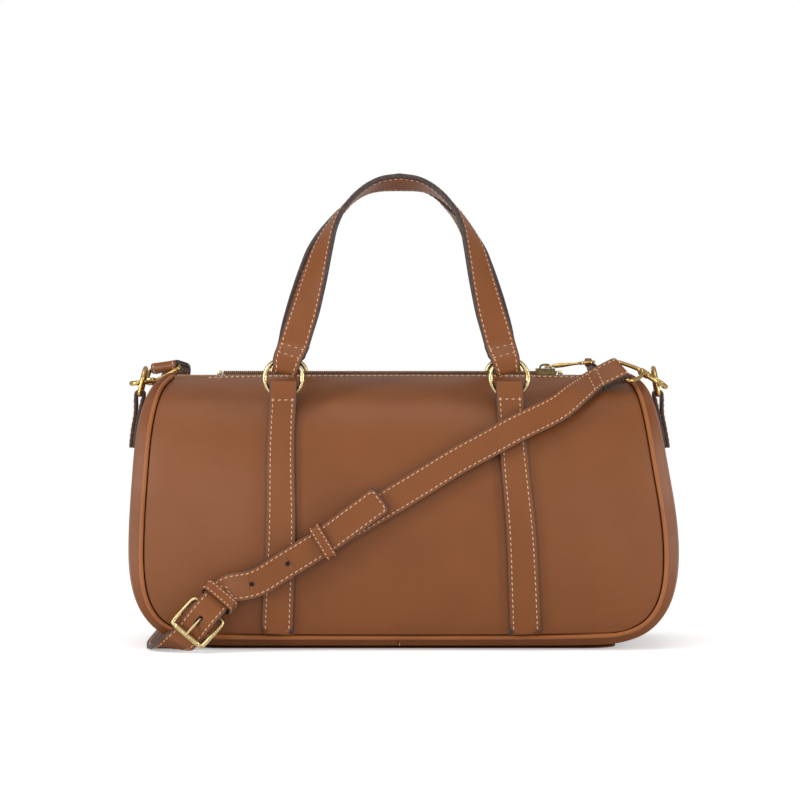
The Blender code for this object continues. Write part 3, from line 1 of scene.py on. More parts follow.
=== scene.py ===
# %% [markdown]
# A zipped leather satchel
#
# The measured model gives every wall, strap and ring its place. This notebook dresses it: leather gets soft
# edges and stitches, straps get painted sides, brass gets smooth round wire, and the zip gets its coils. Only
# the handles are drawn again, between their rings. Nothing is moved, so the model's joints still work.

# %% Load the measured model
import json
import math

import bmesh
import bpy
import numpy as np
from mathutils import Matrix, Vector
from mathutils.bvhtree import BVHTree

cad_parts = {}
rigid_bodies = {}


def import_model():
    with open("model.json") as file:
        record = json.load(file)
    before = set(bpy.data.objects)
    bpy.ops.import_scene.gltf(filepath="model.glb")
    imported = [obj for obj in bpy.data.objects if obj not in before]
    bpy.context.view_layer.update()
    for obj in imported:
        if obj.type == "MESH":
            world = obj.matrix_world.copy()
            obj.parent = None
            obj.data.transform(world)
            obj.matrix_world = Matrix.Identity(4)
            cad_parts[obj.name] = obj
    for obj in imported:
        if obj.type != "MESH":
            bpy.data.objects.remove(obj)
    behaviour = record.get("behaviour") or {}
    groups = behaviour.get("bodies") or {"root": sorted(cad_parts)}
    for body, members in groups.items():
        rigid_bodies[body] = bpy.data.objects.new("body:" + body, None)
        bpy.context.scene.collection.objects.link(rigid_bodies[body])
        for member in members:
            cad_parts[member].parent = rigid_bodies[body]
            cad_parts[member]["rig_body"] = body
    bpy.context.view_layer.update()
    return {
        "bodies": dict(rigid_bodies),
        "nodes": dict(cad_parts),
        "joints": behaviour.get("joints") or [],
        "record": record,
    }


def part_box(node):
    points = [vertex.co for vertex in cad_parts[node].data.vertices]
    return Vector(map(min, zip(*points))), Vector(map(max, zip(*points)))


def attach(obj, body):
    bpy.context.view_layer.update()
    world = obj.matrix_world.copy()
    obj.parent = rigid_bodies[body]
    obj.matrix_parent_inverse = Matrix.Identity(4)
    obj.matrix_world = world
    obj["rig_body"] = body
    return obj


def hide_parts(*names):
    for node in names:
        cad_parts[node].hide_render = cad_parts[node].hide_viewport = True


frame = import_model()
MM = 0.001
print("solids in the model:", len(frame["nodes"]))

# %% [markdown]
# The camera stands where the photographer stood: far off with a long lens, a little above the zip, so that
# the front is seen nearly flat and a thin slice of the top shows.

# %% Camera
CAMERA_PLACE = Vector((-0.0023, -2.4, 0.195))
CAMERA_AIM = Vector((-0.0023, 0.0, 0.1516))
SENSOR = 36.0
FOCAL_PIXELS = 3840.0
FRAME_PIXELS = 800.0

camera_data = bpy.data.cameras.new("studio_camera")
camera_data.sensor_width = SENSOR
camera_data.lens = FOCAL_PIXELS * SENSOR / FRAME_PIXELS
camera_data.clip_end = 50.0
camera = bpy.data.objects.new("studio_camera", camera_data)
camera.location = CAMERA_PLACE
camera.rotation_euler = (CAMERA_AIM - CAMERA_PLACE).to_track_quat("-Z", "Y").to_euler()
bpy.context.scene.collection.objects.link(camera)
bpy.context.scene.camera = camera
bpy.context.scene.view_settings.view_transform = "Standard"
print("lens in mm:", round(camera_data.lens, 1))

# %% [markdown]
# A node tree is easier to read in a script when each node is one line. These helpers add a node with its
# settings, and join a socket to whatever feeds it, be it a plain value or another node's output.

# %% Helpers for node trees
def feed(tree, socket, source):
    """Joins a socket to another node's output, or gives it a plain value. A colour gets its alpha here."""
    if isinstance(source, bpy.types.NodeSocket):
        tree.links.new(source, socket)
    elif socket.type == "RGBA":
        socket.default_value = (*source, 1)
    else:
        socket.default_value = source


def add_node(tree, kind, inputs=None, **settings):
    node = tree.nodes.new(kind)
    for name, value in settings.items():
        setattr(node, name, value)
    for key, source in (inputs or {}).items():
        feed(tree, node.inputs[key], source)
    return node


def result_of(tree, kind, inputs=None, **settings):
    """Adds a node and gives its first output."""
    return add_node(tree, kind, inputs, **settings).outputs[0]


def add_socket(tree, name, kind, value=None, side="INPUT"):
    socket = tree.interface.new_socket(name, in_out=side, socket_type=f"NodeSocket{kind}")
    if value is not None:
        socket.default_value = value


def maths(tree, operation, *sources):
    return result_of(tree, "ShaderNodeMath", dict(enumerate(sources)), operation=operation)


def blend_colours(tree, share, first, second):
    return add_node(tree, "ShaderNodeMix", {0: share, 6: first, 7: second}, data_type="RGBA").outputs[2]


def ramp_of(tree, value, low, high):
    """A share that eases from 0 to 1 as the value goes from low to high."""
    inputs = {"Value": value, "From Min": low, "From Max": high}
    return result_of(tree, "ShaderNodeMapRange", inputs, interpolation_type="SMOOTHSTEP")


def object_place(tree):
    return tree.nodes.new("ShaderNodeTexCoord").outputs["Object"]


def noise(tree, place, scale, detail, roughness=0.5):
    inputs = {"Vector": place, "Scale": scale, "Detail": detail, "Roughness": roughness}
    return result_of(tree, "ShaderNodeTexNoise", inputs)


# %% [markdown]
# Smooth dyed leather is not one flat brown. The dye lies in soft clouds, pores catch a little darker, and the
# hide is never quite flat, which is what bends the highlights on a real bag. One group makes all of that, and
# every leather places it with its own colours.

# %% Leather group
GRAIN_HEIGHT = 0.022 * MM
PORE_DEPTH = 0.01 * MM
SWELL_HEIGHT = 4.2 * MM


def leather_group():
    group = bpy.data.node_groups.new("Dyed leather", "ShaderNodeTree")
    for name, kind in (("Colour", "Color"), ("Deep colour", "Color"), ("Gloss", "Float"), ("Swell", "Float")):
        add_socket(group, name, kind)
    for name, kind in (("Colour", "Color"), ("Roughness", "Float"), ("Height", "Float")):
        add_socket(group, name, kind, side="OUTPUT")
    given = group.nodes.new("NodeGroupInput").outputs
    results = group.nodes.new("NodeGroupOutput").inputs
    place = object_place(group)
    cloud_share = ramp_of(group, noise(group, place, 26.0, 3.0, 0.55), 0.36, 0.72)
    pore_share = ramp_of(group, noise(group, place, 2600.0, 2.0, 0.6), 0.58, 0.74)
    swells = noise(group, place, 11.0, 1.0, 0.4)
    pebbles = result_of(
        group, "ShaderNodeTexVoronoi", {"Vector": place, "Scale": 1500.0, "Randomness": 0.9}
    )
    dark_share = maths(group, "MULTIPLY", cloud_share, 0.20)
    dyed = blend_colours(group, dark_share, given["Colour"], given["Deep colour"])
    pored = blend_colours(group, maths(group, "MULTIPLY", pore_share, 0.16), dyed, given["Deep colour"])
    grain = maths(group, "MULTIPLY", pebbles, GRAIN_HEIGHT)
    pitted = maths(group, "MULTIPLY_ADD", pore_share, -PORE_DEPTH, grain)
    swell_height = maths(group, "MULTIPLY", given["Swell"], SWELL_HEIGHT)
    rough = maths(group, "MULTIPLY_ADD", cloud_share, 0.07, given["Gloss"])
    feed(group, results["Colour"], pored)
    feed(group, results["Roughness"], maths(group, "MULTIPLY_ADD", pore_share, 0.08, rough))
    feed(group, results["Height"], maths(group, "MULTIPLY_ADD", swells, swell_height, pitted))
    return group


LEATHER_GROUP = leather_group()


def start_material(name, **plain):
    """A material whose shader has these plain values on its own sockets."""
    material = bpy.data.materials.new(name)
    material.use_nodes = True
    tree = material.node_tree
    shader = tree.nodes["Principled BSDF"]
    for key, value in plain.items():
        shader.inputs[key.replace("_", " ")].default_value = value
    return material, tree, shader


def feed_shader(tree, shader, colour, roughness, height):
    """Gives a shader its colour and roughness, and the height that bends its normal."""
    bump = result_of(tree, "ShaderNodeBump", {"Strength": 1.0, "Distance": 1.0, "Height": height})
    feed(tree, shader.inputs["Base Color"], colour)
    feed(tree, shader.inputs["Roughness"], roughness)
    feed(tree, shader.inputs["Normal"], bump)


def leather(name, colour, deep, gloss, swell):
    material, tree, shader = start_material(name, Specular_IOR_Level=0.27)
    values = {"Colour": colour, "Deep colour": deep, "Gloss": gloss, "Swell": swell}
    skin = add_node(tree, "ShaderNodeGroup", values, node_tree=LEATHER_GROUP).outputs
    feed_shader(tree, shader, skin["Colour"], skin["Roughness"], skin["Height"])
    return material


BROWN = (0.180, 0.056, 0.0135)
STRAP_BROWN = (0.186, 0.058, 0.0140)
# The piping's brown is lighter than the walls' mostly by painted light, which stands for the light thrown up
# from the floor onto the bottom piping.
PIPING_BROWN_WITH_PAINTED_LIGHT = (0.290, 0.096, 0.026)
DEEP_BROWN = (0.102, 0.027, 0.0058)
wall_leather = leather("wall_leather", BROWN, DEEP_BROWN, gloss=0.40, swell=1.0)
strap_leather = leather("strap_leather", STRAP_BROWN, DEEP_BROWN, gloss=0.38, swell=0.35)
piping_leather = leather("piping_leather", PIPING_BROWN_WITH_PAINTED_LIGHT, DEEP_BROWN, gloss=0.38, swell=0.1)
print("leathers:", wall_leather.name, strap_leather.name, piping_leather.name)

# %% [markdown]
# Cut edges of good straps are sanded and painted. The paint is a dark grey brown, satin, and a little uneven
# where the brush passed, so its colour wavers along the edge.

# %% Edge paint, thread and brass
def edge_paint():
    material, tree, shader = start_material("edge_paint", Specular_IOR_Level=0.28)
    wavers = noise(tree, object_place(tree), 420.0, 3.0)
    share = ramp_of(tree, wavers, 0.3, 0.75)
    colour = blend_colours(tree, share, (0.038, 0.026, 0.023), (0.070, 0.047, 0.040))
    roughness = maths(tree, "MULTIPLY_ADD", share, 0.14, 0.40)
    feed_shader(tree, shader, colour, roughness, maths(tree, "MULTIPLY", wavers, 0.12 * MM))
    return material


def thread(name, colour):
    """Waxed thread: three plies twisted, so fine slanting bands run over each stitch."""
    material, tree, shader = start_material(name)
    place = object_place(tree)
    bands = {"Vector": place, "Scale": 420.0, "Distortion": 1.5}
    plies = add_node(tree, "ShaderNodeTexWave", bands, bands_direction="DIAGONAL").outputs["Fac"]
    dark = tuple(c * 0.62 for c in colour)
    colour = blend_colours(tree, maths(tree, "MULTIPLY", plies, 0.35), colour, dark)
    roughness = maths(tree, "MULTIPLY_ADD", noise(tree, place, 3800.0, 2.0), 0.2, 0.5)
    feed_shader(tree, shader, colour, roughness, maths(tree, "MULTIPLY", plies, 0.12 * MM))
    return material


def brass(name, light, dark):
    """Polished brass with a fine haze, and faint darker patches in random places that are painted dark
    reflections and painted shade.
    """
    material, tree, shader = start_material(name, Metallic=1.0)
    place = object_place(tree)
    # The darker patches are painted dark reflections and painted shade, laid in random places by the noise.
    share = ramp_of(tree, noise(tree, place, 240.0, 4.0, 0.6), 0.40, 0.72)
    colour = blend_colours(tree, share, light, dark)
    roughness = maths(tree, "MULTIPLY_ADD", share, 0.16, 0.17)
    lines = noise(tree, place, 1900.0, 2.0)
    feed_shader(tree, shader, colour, roughness, maths(tree, "MULTIPLY", lines, 0.012 * MM))
    return material


paint = edge_paint()
pale_thread = thread("pale_thread", (0.62, 0.39, 0.25))
zip_thread = thread("zip_thread", (0.44, 0.29, 0.19))
# The second colour of each brass is its painted dark reflection and shade.
brass_metal = brass("brass", (0.66, 0.53, 0.28), (0.44, 0.32, 0.13))
warm_brass = brass("warm_brass", (0.60, 0.40, 0.14), (0.36, 0.21, 0.06))
dark_brass = brass("dark_brass", (0.20, 0.14, 0.06), (0.09, 0.06, 0.03))
print("finishes:", paint.name, pale_thread.name, zip_thread.name, brass_metal.name)

# %% [markdown]
# The zip's tape is woven on a slant, its coils are dyed nylon wound round a cotton cord, and the lining is a
# plain cotton. A weave is two sets of threads at right angles, so two waves, multiplied, draw it.

# %% Woven cloth, nylon and board
def woven(name, light, dark, pitch, first_axis, second_axis, slant=0.0):
    material, tree, shader = start_material(name, Specular_IOR_Level=0.12)
    place = object_place(tree)
    parts = add_node(tree, "ShaderNodeSeparateXYZ", {"Vector": place}).outputs
    along = maths(tree, "MULTIPLY_ADD", parts[second_axis], slant, parts[first_axis])
    turns = 2 * math.pi / pitch
    warp = maths(tree, "SINE", maths(tree, "MULTIPLY", along, turns))
    weft = maths(tree, "SINE", maths(tree, "MULTIPLY", parts[second_axis], turns))
    share = ramp_of(tree, maths(tree, "MULTIPLY", warp, weft), -0.8, 0.8)
    fuzz = noise(tree, place, 3000.0, 2.0)
    worn = maths(tree, "MULTIPLY", fuzz, 0.35)
    colour = blend_colours(tree, worn, blend_colours(tree, share, dark, light), dark)
    roughness = maths(tree, "MULTIPLY_ADD", fuzz, 0.15, 0.7)
    feed_shader(tree, shader, colour, roughness, maths(tree, "MULTIPLY", share, pitch * 0.12))
    return material


def plain_grained(name, colour, dark, roughness, scale):
    material, tree, shader = start_material(name)
    grain = noise(tree, object_place(tree), scale, 4.0)
    share = ramp_of(tree, grain, 0.35, 0.7)
    colour = blend_colours(tree, share, colour, dark)
    roughness = maths(tree, "MULTIPLY_ADD", share, 0.1, roughness)
    feed_shader(tree, shader, colour, roughness, maths(tree, "MULTIPLY", grain, 0.06 * MM))
    return material


tape_cloth = woven("tape_cloth", (0.30, 0.17, 0.09), (0.10, 0.045, 0.022), 1.1 * MM, "X", "Y", slant=0.6)
lining_cloth = woven("lining_cloth", (0.34, 0.24, 0.15), (0.20, 0.13, 0.075), 0.9 * MM, "X", "Z")
coil_nylon = plain_grained("coil_nylon", (0.24, 0.115, 0.055), (0.13, 0.058, 0.027), 0.34, 900.0)
cord_cotton = plain_grained("cord_cotton", (0.17, 0.095, 0.055), (0.09, 0.05, 0.03), 0.8, 1500.0)
stiff_board = plain_grained("stiff_board", (0.36, 0.27, 0.18), (0.26, 0.19, 0.12), 0.75, 320.0)
print("cloths:", tape_cloth.name, lining_cloth.name)

# %% [markdown]
# A measured solid is loose triangles. Its merged copy is the start of each finished piece: triangle pairs
# become four-sided faces, a bevel rounds the cut edges as sanding does, and subdivision makes the curves
# smooth. Before that, the faces are told apart: a flood over the edges that are not sharp finds each side of
# a strap, and a side that is narrow is a cut edge, so it is painted. On some straps the paint also laps over
# a fine rim of the wide sides. Inside it they get a narrow border of faces, or subdivision would draw the
# paint far in over them.

# %% Copies of the measured solids
MERGE_REACH = 2e-6
SLIVER = 1e-6
PAIR_ANGLE = math.radians(25)
SHARP = math.radians(40)
NARROW = 3.3 * MM
EDGE_SUPPORT = 0.7 * MM
FOLDED = ("hole_strap",)
FOLD_LENGTH = 15.0 * MM
FOLD_TURN = math.radians(75)
UNDERGROUND = -1.0


def merged_copy(node):
    mesh = bmesh.new()
    mesh.from_mesh(frame["nodes"][node].data)
    bmesh.ops.remove_doubles(mesh, verts=mesh.verts, dist=MERGE_REACH)
    bmesh.ops.dissolve_degenerate(mesh, edges=mesh.edges, dist=SLIVER)
    bmesh.ops.join_triangles(
        mesh, faces=mesh.faces, angle_face_threshold=PAIR_ANGLE, angle_shape_threshold=SHARP, cmp_sharp=False
    )
    mesh.normal_update()
    return mesh


def is_sharp(edge, folded):
    """Whether an edge parts two sides. On a folded strap a long edge that turns little is only a fold."""
    if len(edge.link_faces) != 2:
        return False
    is_fold = folded and edge.calc_length() > FOLD_LENGTH
    return edge.calc_face_angle(0) > (FOLD_TURN if is_fold else SHARP)


def sides_of(mesh, node):
    """Lists of faces, one for each smooth side of the solid."""
    folded = node in FOLDED
    seen = set()
    sides = []
    for first in mesh.faces:
        if first in seen:
            continue
        seen.add(first)
        side, front = [], [first]
        while front:
            face = front.pop()
            side.append(face)
            for edge in face.edges:
                if is_sharp(edge, folded):
                    continue
                for other in edge.link_faces:
                    if other not in seen:
                        seen.add(other)
                        front.append(other)
        sides.append(side)
    return sides


def rim_of(side):
    """The side's outline as directed edges (vertex, vertex, face), in the order of its faces."""
    members = set(side)
    rim = []
    for face in side:
        for loop in face.loops:
            if any(f not in members for f in loop.edge.link_faces):
                rim.append((loop.vert, loop.link_loop_next.vert, face))
    return rim


def side_width(side):
    """How wide a side is. One that closes on itself has no outline and counts as wide."""
    area = sum(face.calc_area() for face in side)
    around = sum((b.co - a.co).length for a, b, _ in rim_of(side))
    return 2 * area / around if around else math.inf


def new_object(name, mesh):
    obj = bpy.data.objects.new(name, mesh)
    bpy.context.scene.collection.objects.link(obj)
    return obj


def apply_modifiers(obj):
    """Makes the object's modifiers into a plain mesh."""
    bpy.context.view_layer.update()
    graph = bpy.context.evaluated_depsgraph_get()
    mesh = bpy.data.meshes.new_from_object(obj.evaluated_get(graph))
    mesh.name = obj.name
    obj.modifiers.clear()
    obj.data = mesh


def body_of_node(node):
    return frame["nodes"][node]["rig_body"]


def paint_sides(mesh, node, rim_paint, bare_below):
    """Paints the cut sides, and a rim of the wide ones down to the height bare_below."""
    wide = []
    for side in sides_of(mesh, node):
        if side_width(side) < NARROW:
            for face in side:
                face.material_index = 1
        else:
            wide += side
    if rim_paint:
        rim = bmesh.ops.inset_region(mesh, faces=wide, thickness=rim_paint, use_even_offset=True)
        for face in rim["faces"]:
            face.material_index = int(face.calc_center_median().z > bare_below)
    bmesh.ops.inset_region(mesh, faces=wide, thickness=EDGE_SUPPORT, use_even_offset=True)
    held = mesh.verts.layers.float.new("crease_vert")
    for vert in mesh.verts:
        vert[held] = float(vert.co.z < bare_below)


finished = {}


def dress(
    node, name, materials, bevel=0.3 * MM, levels=2, swell=0.0, rim_paint=0.0, bare_below=UNDERGROUND
):
    """Makes the finished piece of a measured solid: soft edges, smooth curves, painted cut sides."""
    mesh = merged_copy(node)
    if len(materials) > 1:
        paint_sides(mesh, node, rim_paint, bare_below)
    if swell:
        moves = [vert.normal * swell for vert in mesh.verts]
        for vert, move in zip(mesh.verts, moves):
            vert.co += move
    data = bpy.data.meshes.new(name)
    mesh.to_mesh(data)
    mesh.free()
    for face in data.polygons:
        face.use_smooth = True
    obj = new_object(name, data)
    for material in materials:
        data.materials.append(material)
    if bevel:
        soft = obj.modifiers.new("soft_edges", "BEVEL")
        soft.width = bevel
        soft.segments = 2
        soft.limit_method = "ANGLE"
        soft.angle_limit = SHARP
        soft.use_clamp_overlap = True
    if levels:
        smooth = obj.modifiers.new("smooth_curves", "SUBSURF")
        smooth.levels = levels
        smooth.render_levels = levels
    apply_modifiers(obj)
    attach(obj, body_of_node(node))
    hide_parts(node)
    finished[node] = obj


# %% [markdown]
# The walls of the bag are large soft sheets. Their copies only need a fine edge, because the leather turns
# in at the piping and its cut side is hidden. The gussets and the base are made the same way.

# %% Walls, gussets, base and piping
for node in ("front_panel", "back_panel", "gusset_left", "gusset_right"):
    dress(node, f"{node}_skin", [wall_leather], bevel=0.25 * MM, levels=2)
dress("base_panel", "base_panel_skin", [wall_leather], levels=0)
for node in ("front_piping", "back_piping"):
    dress(node, f"{node}_bead", [piping_leather], bevel=0, levels=2, swell=0.12 * MM)
dress("lining", "lining_shell", [lining_cloth], bevel=0.2 * MM, levels=1)
dress("base_board", "base_board_sheet", [stiff_board], levels=0)
print("walls:", len(finished))

# %% [markdown]
# The straps, tabs and keepers are all strips with painted edges, so one loop dresses them. At the foot of a
# wall tab, where it goes into the seam, the rim stays bare and its corners are held.

# %% Straps, tabs and keepers
SIDES = {"front": -1, "back": 1}
HANDS = {"left": -1, "right": 1}
WALL_TABS = tuple(f"{face}_tab_{hand}" for face in SIDES for hand in HANDS)
WALL_RINGS = tuple(f"{face}_ring_{hand}" for face in SIDES for hand in HANDS)
STRIPS = WALL_TABS + (
    "side_tab_left", "side_tab_right", "buckle_strap", "hole_strap", "fixed_keeper", "sliding_keeper",
    "zip_pull_tab",
)
RIM_PAINT = {"hole_strap": 0.25 * MM, "buckle_strap": 0.25 * MM} | dict.fromkeys(WALL_TABS, 0.55 * MM)
TAB_FOOT = 3.0 * MM
for node in STRIPS:
    dress(
        node, f"{node}_hide", [strap_leather, paint], bevel=0.35 * MM, levels=2,
        rim_paint=RIM_PAINT.get(node, 0.0),
        bare_below=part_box(node)[0].z + TAB_FOOT if node in WALL_TABS else UNDERGROUND,
    )
print("strips:", len(STRIPS))

# %% [markdown]
# Brass wire is round. The measured rings and hooks are wire with eight flat sides, and subdivision rounds
# them but also draws them in a little, so each is first swelled by what it will lose.

# %% Brass
WIRES = {
    brass_metal: WALL_RINGS + ("buckle_frame", "buckle_prong"),
    warm_brass: (
        "side_ring_left", "side_ring_right", "left_hook_body", "left_hook_eye", "right_hook_body",
        "right_hook_eye", "zip_puller",
    ),
}
BLOCKS = {
    brass_metal: ("buckle_roller",),
    warm_brass: ("left_hook_gate", "right_hook_gate"),
    dark_brass: ("zip_slider",),
}
WIRE_SWELL = 0.09 * MM
OTHER_SWELLS = {
    "zip_puller": 0.28 * MM, "left_hook_body": 0.22 * MM, "right_hook_body": 0.22 * MM,
    "buckle_prong": -0.05 * MM,
}
for metal, nodes in WIRES.items():
    for node in nodes:
        swell = OTHER_SWELLS.get(node, WIRE_SWELL)
        dress(node, f"{node}_wire", [metal], bevel=0, levels=2, swell=swell)
for metal, nodes in BLOCKS.items():
    for node in nodes:
        dress(node, f"{node}_metal", [metal], bevel=0.2 * MM, levels=1)
print("brass pieces:", sum(len(nodes) for nodes in (*WIRES.values(), *BLOCKS.values())))

# %% [markdown]
# A stitch row follows a cut edge at a steady distance. The outline of a strap's wide side is walked round,
# each of its points is moved inwards, and the row is kept only where the real bag shows one. Then every point
# is set down on the finished surface, whose normal tells the thread which way is out.

# %% Rows that stitches follow
def ordered_rims(side):
    """The side's outline as closed lists of (place, inward direction)."""
    after = {}
    for start, end, face in rim_of(side):
        along = (end.co - start.co).normalized()
        after[start] = (end, face.normal.cross(along).normalized())
    rims = []
    while after:
        start = next(iter(after))
        rim, vert = [], start
        while vert in after:
            following, inward = after.pop(vert)
            rim.append((vert.co.copy(), inward))
            vert = following
        rims.append(rim)
    return rims


MITRE_LEAST = 0.5


def inset_rim(rim, inset):
    """The outline moved inwards, with the corners mitred."""
    places = []
    for k, (place, inward) in enumerate(rim):
        before = rim[k - 1][1]
        share = max(1.0 + before.dot(inward), MITRE_LEAST)
        places.append(place + (before + inward) * (inset / share))
    return places


def run_along(points):
    """How far along their path the points lie."""
    steps = np.linalg.norm(np.diff(points, axis=0), axis=1)
    return np.concatenate([[0.0], np.cumsum(steps)])


def resample(places, step):
    points = np.array([tuple(p) for p in places], float)
    run = run_along(points)
    wanted = np.linspace(0.0, run[-1], max(int(run[-1] / step), 1) + 1)
    return [Vector([np.interp(w, run, column) for column in points.T]) for w in wanted]


def surface_of(obj):
    return BVHTree.FromObject(obj, bpy.context.evaluated_depsgraph_get())


def set_down(places, tree):
    """Each place on the nearest surface, as (place, normal)."""
    return [tree.find_nearest(place)[:2] for place in places]


def kept_runs(spots, keep):
    """Splits a closed row where keep says no. What crosses the row's start stays in one run."""
    flags = [keep(*spot) for spot in spots]
    if all(flags):
        return [spots + spots[:1]]
    start = flags.index(False)
    runs = [[]]
    for spot, flag in zip(spots[start:] + spots[:start], flags[start:] + flags[:start]):
        if flag:
            runs[-1].append(spot)
        elif runs[-1]:
            runs.append([])
    return [run for run in runs if len(run) > 1]


ROW_STEP = 1.2 * MM
SHORT_RIM = 75 * MM


def edge_rows(node, inset, keep=lambda place, normal: True, wide=NARROW, shortest=SHORT_RIM):
    """The stitch rows beside the cut edges of a dressed solid, as lists of (place, normal).

    A short outline is a hole or a slot, and nothing is sewn round it."""
    mesh = merged_copy(node)
    tree = surface_of(finished[node])
    rows = []
    for side in sides_of(mesh, node):
        if side_width(side) < wide:
            continue
        for rim in ordered_rims(side):
            if sum((rim[k][0] - rim[k - 1][0]).length for k in range(len(rim))) < shortest:
                continue
            ring = inset_rim(rim, inset)
            ring = resample(ring + ring[:1], ROW_STEP)[:-1]
            rows += kept_runs(set_down(ring, tree), keep)
    mesh.free()
    return rows


def seen_through(x, y, node):
    """The place on a finished piece that the camera sees through a pixel of its 800 by 800 picture."""
    turn = camera.matrix_basis.to_quaternion()
    middle = FRAME_PIXELS / 2
    way = turn @ Vector(((x - middle) / FOCAL_PIXELS, (middle - y) / FOCAL_PIXELS, -1.0))
    return surface_of(finished[node]).ray_cast(CAMERA_PLACE, way.normalized())[0]


def cross_row(node, start, end):
    """A straight row over a strap, from near start to near end."""
    start, end = Vector(start), Vector(end)
    count = max(int((end - start).length / ROW_STEP), 2)
    places = [start.lerp(end, k / count) for k in range(count + 1)]
    return set_down(places, surface_of(finished[node]))


# %% [markdown]
# One Geometry Nodes tree sews every row. It resamples the row at the stitch pitch, puts a small bead of
# thread on each point, turns it along the row and out from the leather, and makes it real. The zip's coils
# are grown by a tree too, so the two share how a tree starts and ends.

# %% Stitch tree
def start_tree(name, sizes):
    """A tree whose named inputs are the geometry to start from, its sizes and its material."""
    tree = bpy.data.node_groups.new(name, "GeometryNodeTree")
    add_socket(tree, "Geometry", "Geometry")
    for key, value in sizes.items():
        add_socket(tree, key, "Float", value)
    add_socket(tree, "Material", "Material")
    add_socket(tree, "Geometry", "Geometry", side="OUTPUT")
    return tree, tree.nodes.new("NodeGroupInput").outputs


def end_tree(tree, inputs, instances):
    """Makes the instances real and smooth, gives them the material and puts them out."""
    real = result_of(tree, "GeometryNodeRealizeInstances", {"Geometry": instances})
    smooth = result_of(tree, "GeometryNodeSetShadeSmooth", {"Geometry": real})
    coloured = result_of(
        tree, "GeometryNodeSetMaterial", {"Geometry": smooth, "Material": inputs["Material"]}
    )
    add_node(tree, "NodeGroupOutput", {"Geometry": coloured})
    return tree


def stitch_tree():
    tree, inputs = start_tree("Stitch row", {
        "Pitch": 3.4 * MM, "Stitch length": 2.35 * MM, "Thread width": 0.72 * MM, "Stand": 0.08 * MM,
        "Slant": 0.12,
    })
    line = result_of(tree, "GeometryNodeMeshToCurve", {"Mesh": inputs["Geometry"]})
    spaced = result_of(
        tree, "GeometryNodeResampleCurve", {"Curve": line, "Length": inputs["Pitch"]}, mode="LENGTH"
    )
    out = result_of(tree, "GeometryNodeInputNamedAttribute", {"Name": "out"}, data_type="FLOAT_VECTOR")
    tangent = result_of(tree, "GeometryNodeInputTangent")
    upright = result_of(tree, "FunctionNodeAlignRotationToVector", {"Vector": out}, axis="Z")
    turned = result_of(
        tree, "FunctionNodeAlignRotationToVector", {"Rotation": upright, "Vector": tangent},
        axis="X", pivot_axis="Z",
    )
    twist = result_of(
        tree, "FunctionNodeAxisAngleToRotation", {"Axis": (0, 0, 1), "Angle": inputs["Slant"]}
    )
    slanted = result_of(
        tree, "FunctionNodeRotateRotation", {"Rotation": turned, "Rotate By": twist},
        rotation_space="LOCAL",
    )
    bead = result_of(tree, "GeometryNodeMeshUVSphere", {"Segments": 8, "Rings": 6, "Radius": 0.5})
    size = result_of(
        tree, "ShaderNodeCombineXYZ",
        {"X": inputs["Stitch length"], "Y": inputs["Thread width"], "Z": inputs["Thread width"]},
    )
    shift = result_of(tree, "ShaderNodeCombineXYZ", {"Z": inputs["Stand"]})
    shaped = result_of(
        tree, "GeometryNodeTransform", {"Geometry": bead, "Translation": shift, "Scale": size}
    )
    sewn = result_of(
        tree, "GeometryNodeInstanceOnPoints", {"Points": spaced, "Instance": shaped, "Rotation": slanted}
    )
    return end_tree(tree, inputs, sewn)


STITCHES = stitch_tree()


def socket_key(tree, name):
    """The identifier that a modifier uses for one of its tree's inputs."""
    items = tree.interface.items_tree
    return next(item.identifier for item in items if item.name == name and item.in_out == "INPUT")


def line_mesh(name, rows):
    """Rows of (place, normal) as a mesh of edges, with each normal kept as the attribute out."""
    points, normals, edges = [], [], []
    for row in rows:
        first = len(points)
        for place, normal in row:
            points.append(tuple(place))
            normals.extend(normal)
        edges += [(k, k + 1) for k in range(first, len(points) - 1)]
    mesh = bpy.data.meshes.new(name)
    mesh.from_pydata(points, edges, [])
    out = mesh.attributes.new("out", "FLOAT_VECTOR", "POINT")
    out.data.foreach_set("vector", np.array(normals, np.float32))
    return mesh


def grown(name, mesh, tree, material, **values):
    """An object whose geometry a tree grows from a mesh, then made a plain mesh."""
    obj = new_object(name, mesh)
    modifier = obj.modifiers.new(tree.name, "NODES")
    modifier.node_group = tree
    modifier[socket_key(tree, "Material")] = material
    for key, value in values.items():
        modifier[socket_key(tree, key.replace("_", " "))] = value
    apply_modifiers(obj)
    return obj


def sew(name, rows, body, slot, material=pale_thread, **values):
    obj = grown(name, line_mesh(name, rows), STITCHES, material, **values)
    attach(obj, body)
    print(name, "has", len(rows), "rows and", len(obj.data.polygons), "faces")


# %% [markdown]
# Each tab is sewn to the wall along both edges and once across, just under its loop. Above that row the
# leather only goes round the ring, and at the foot the rows run on into the seam.

# %% Stitches of the tabs
TAB_INSET = 2.5 * MM
TAB_FOOT_MARGIN = 4.2 * MM
TAB_SEWN_TOP = 0.1536
LEAST_OUTWARD = 0.2


def row_ends_at(rows, height):
    """Where the two longest rows cross a height, from left to right."""
    longest = sorted(rows, key=len)[-2:]
    ends = [min(row, key=lambda spot: abs(spot[0].z - height))[0] for row in longest]
    return sorted(ends, key=lambda place: place.x)


bag_rows = []
for node in WALL_TABS:
    side = SIDES[node.split("_")[0]]
    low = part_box(node)[0].z + TAB_FOOT_MARGIN
    rows = edge_rows(
        node, TAB_INSET,
        lambda place, normal: low < place.z < TAB_SEWN_TOP and normal.y * side > LEAST_OUTWARD,
    )
    bag_rows += rows
    bag_rows.append(cross_row(node, *row_ends_at(rows, TAB_SEWN_TOP)))
print("tab rows:", len(bag_rows))

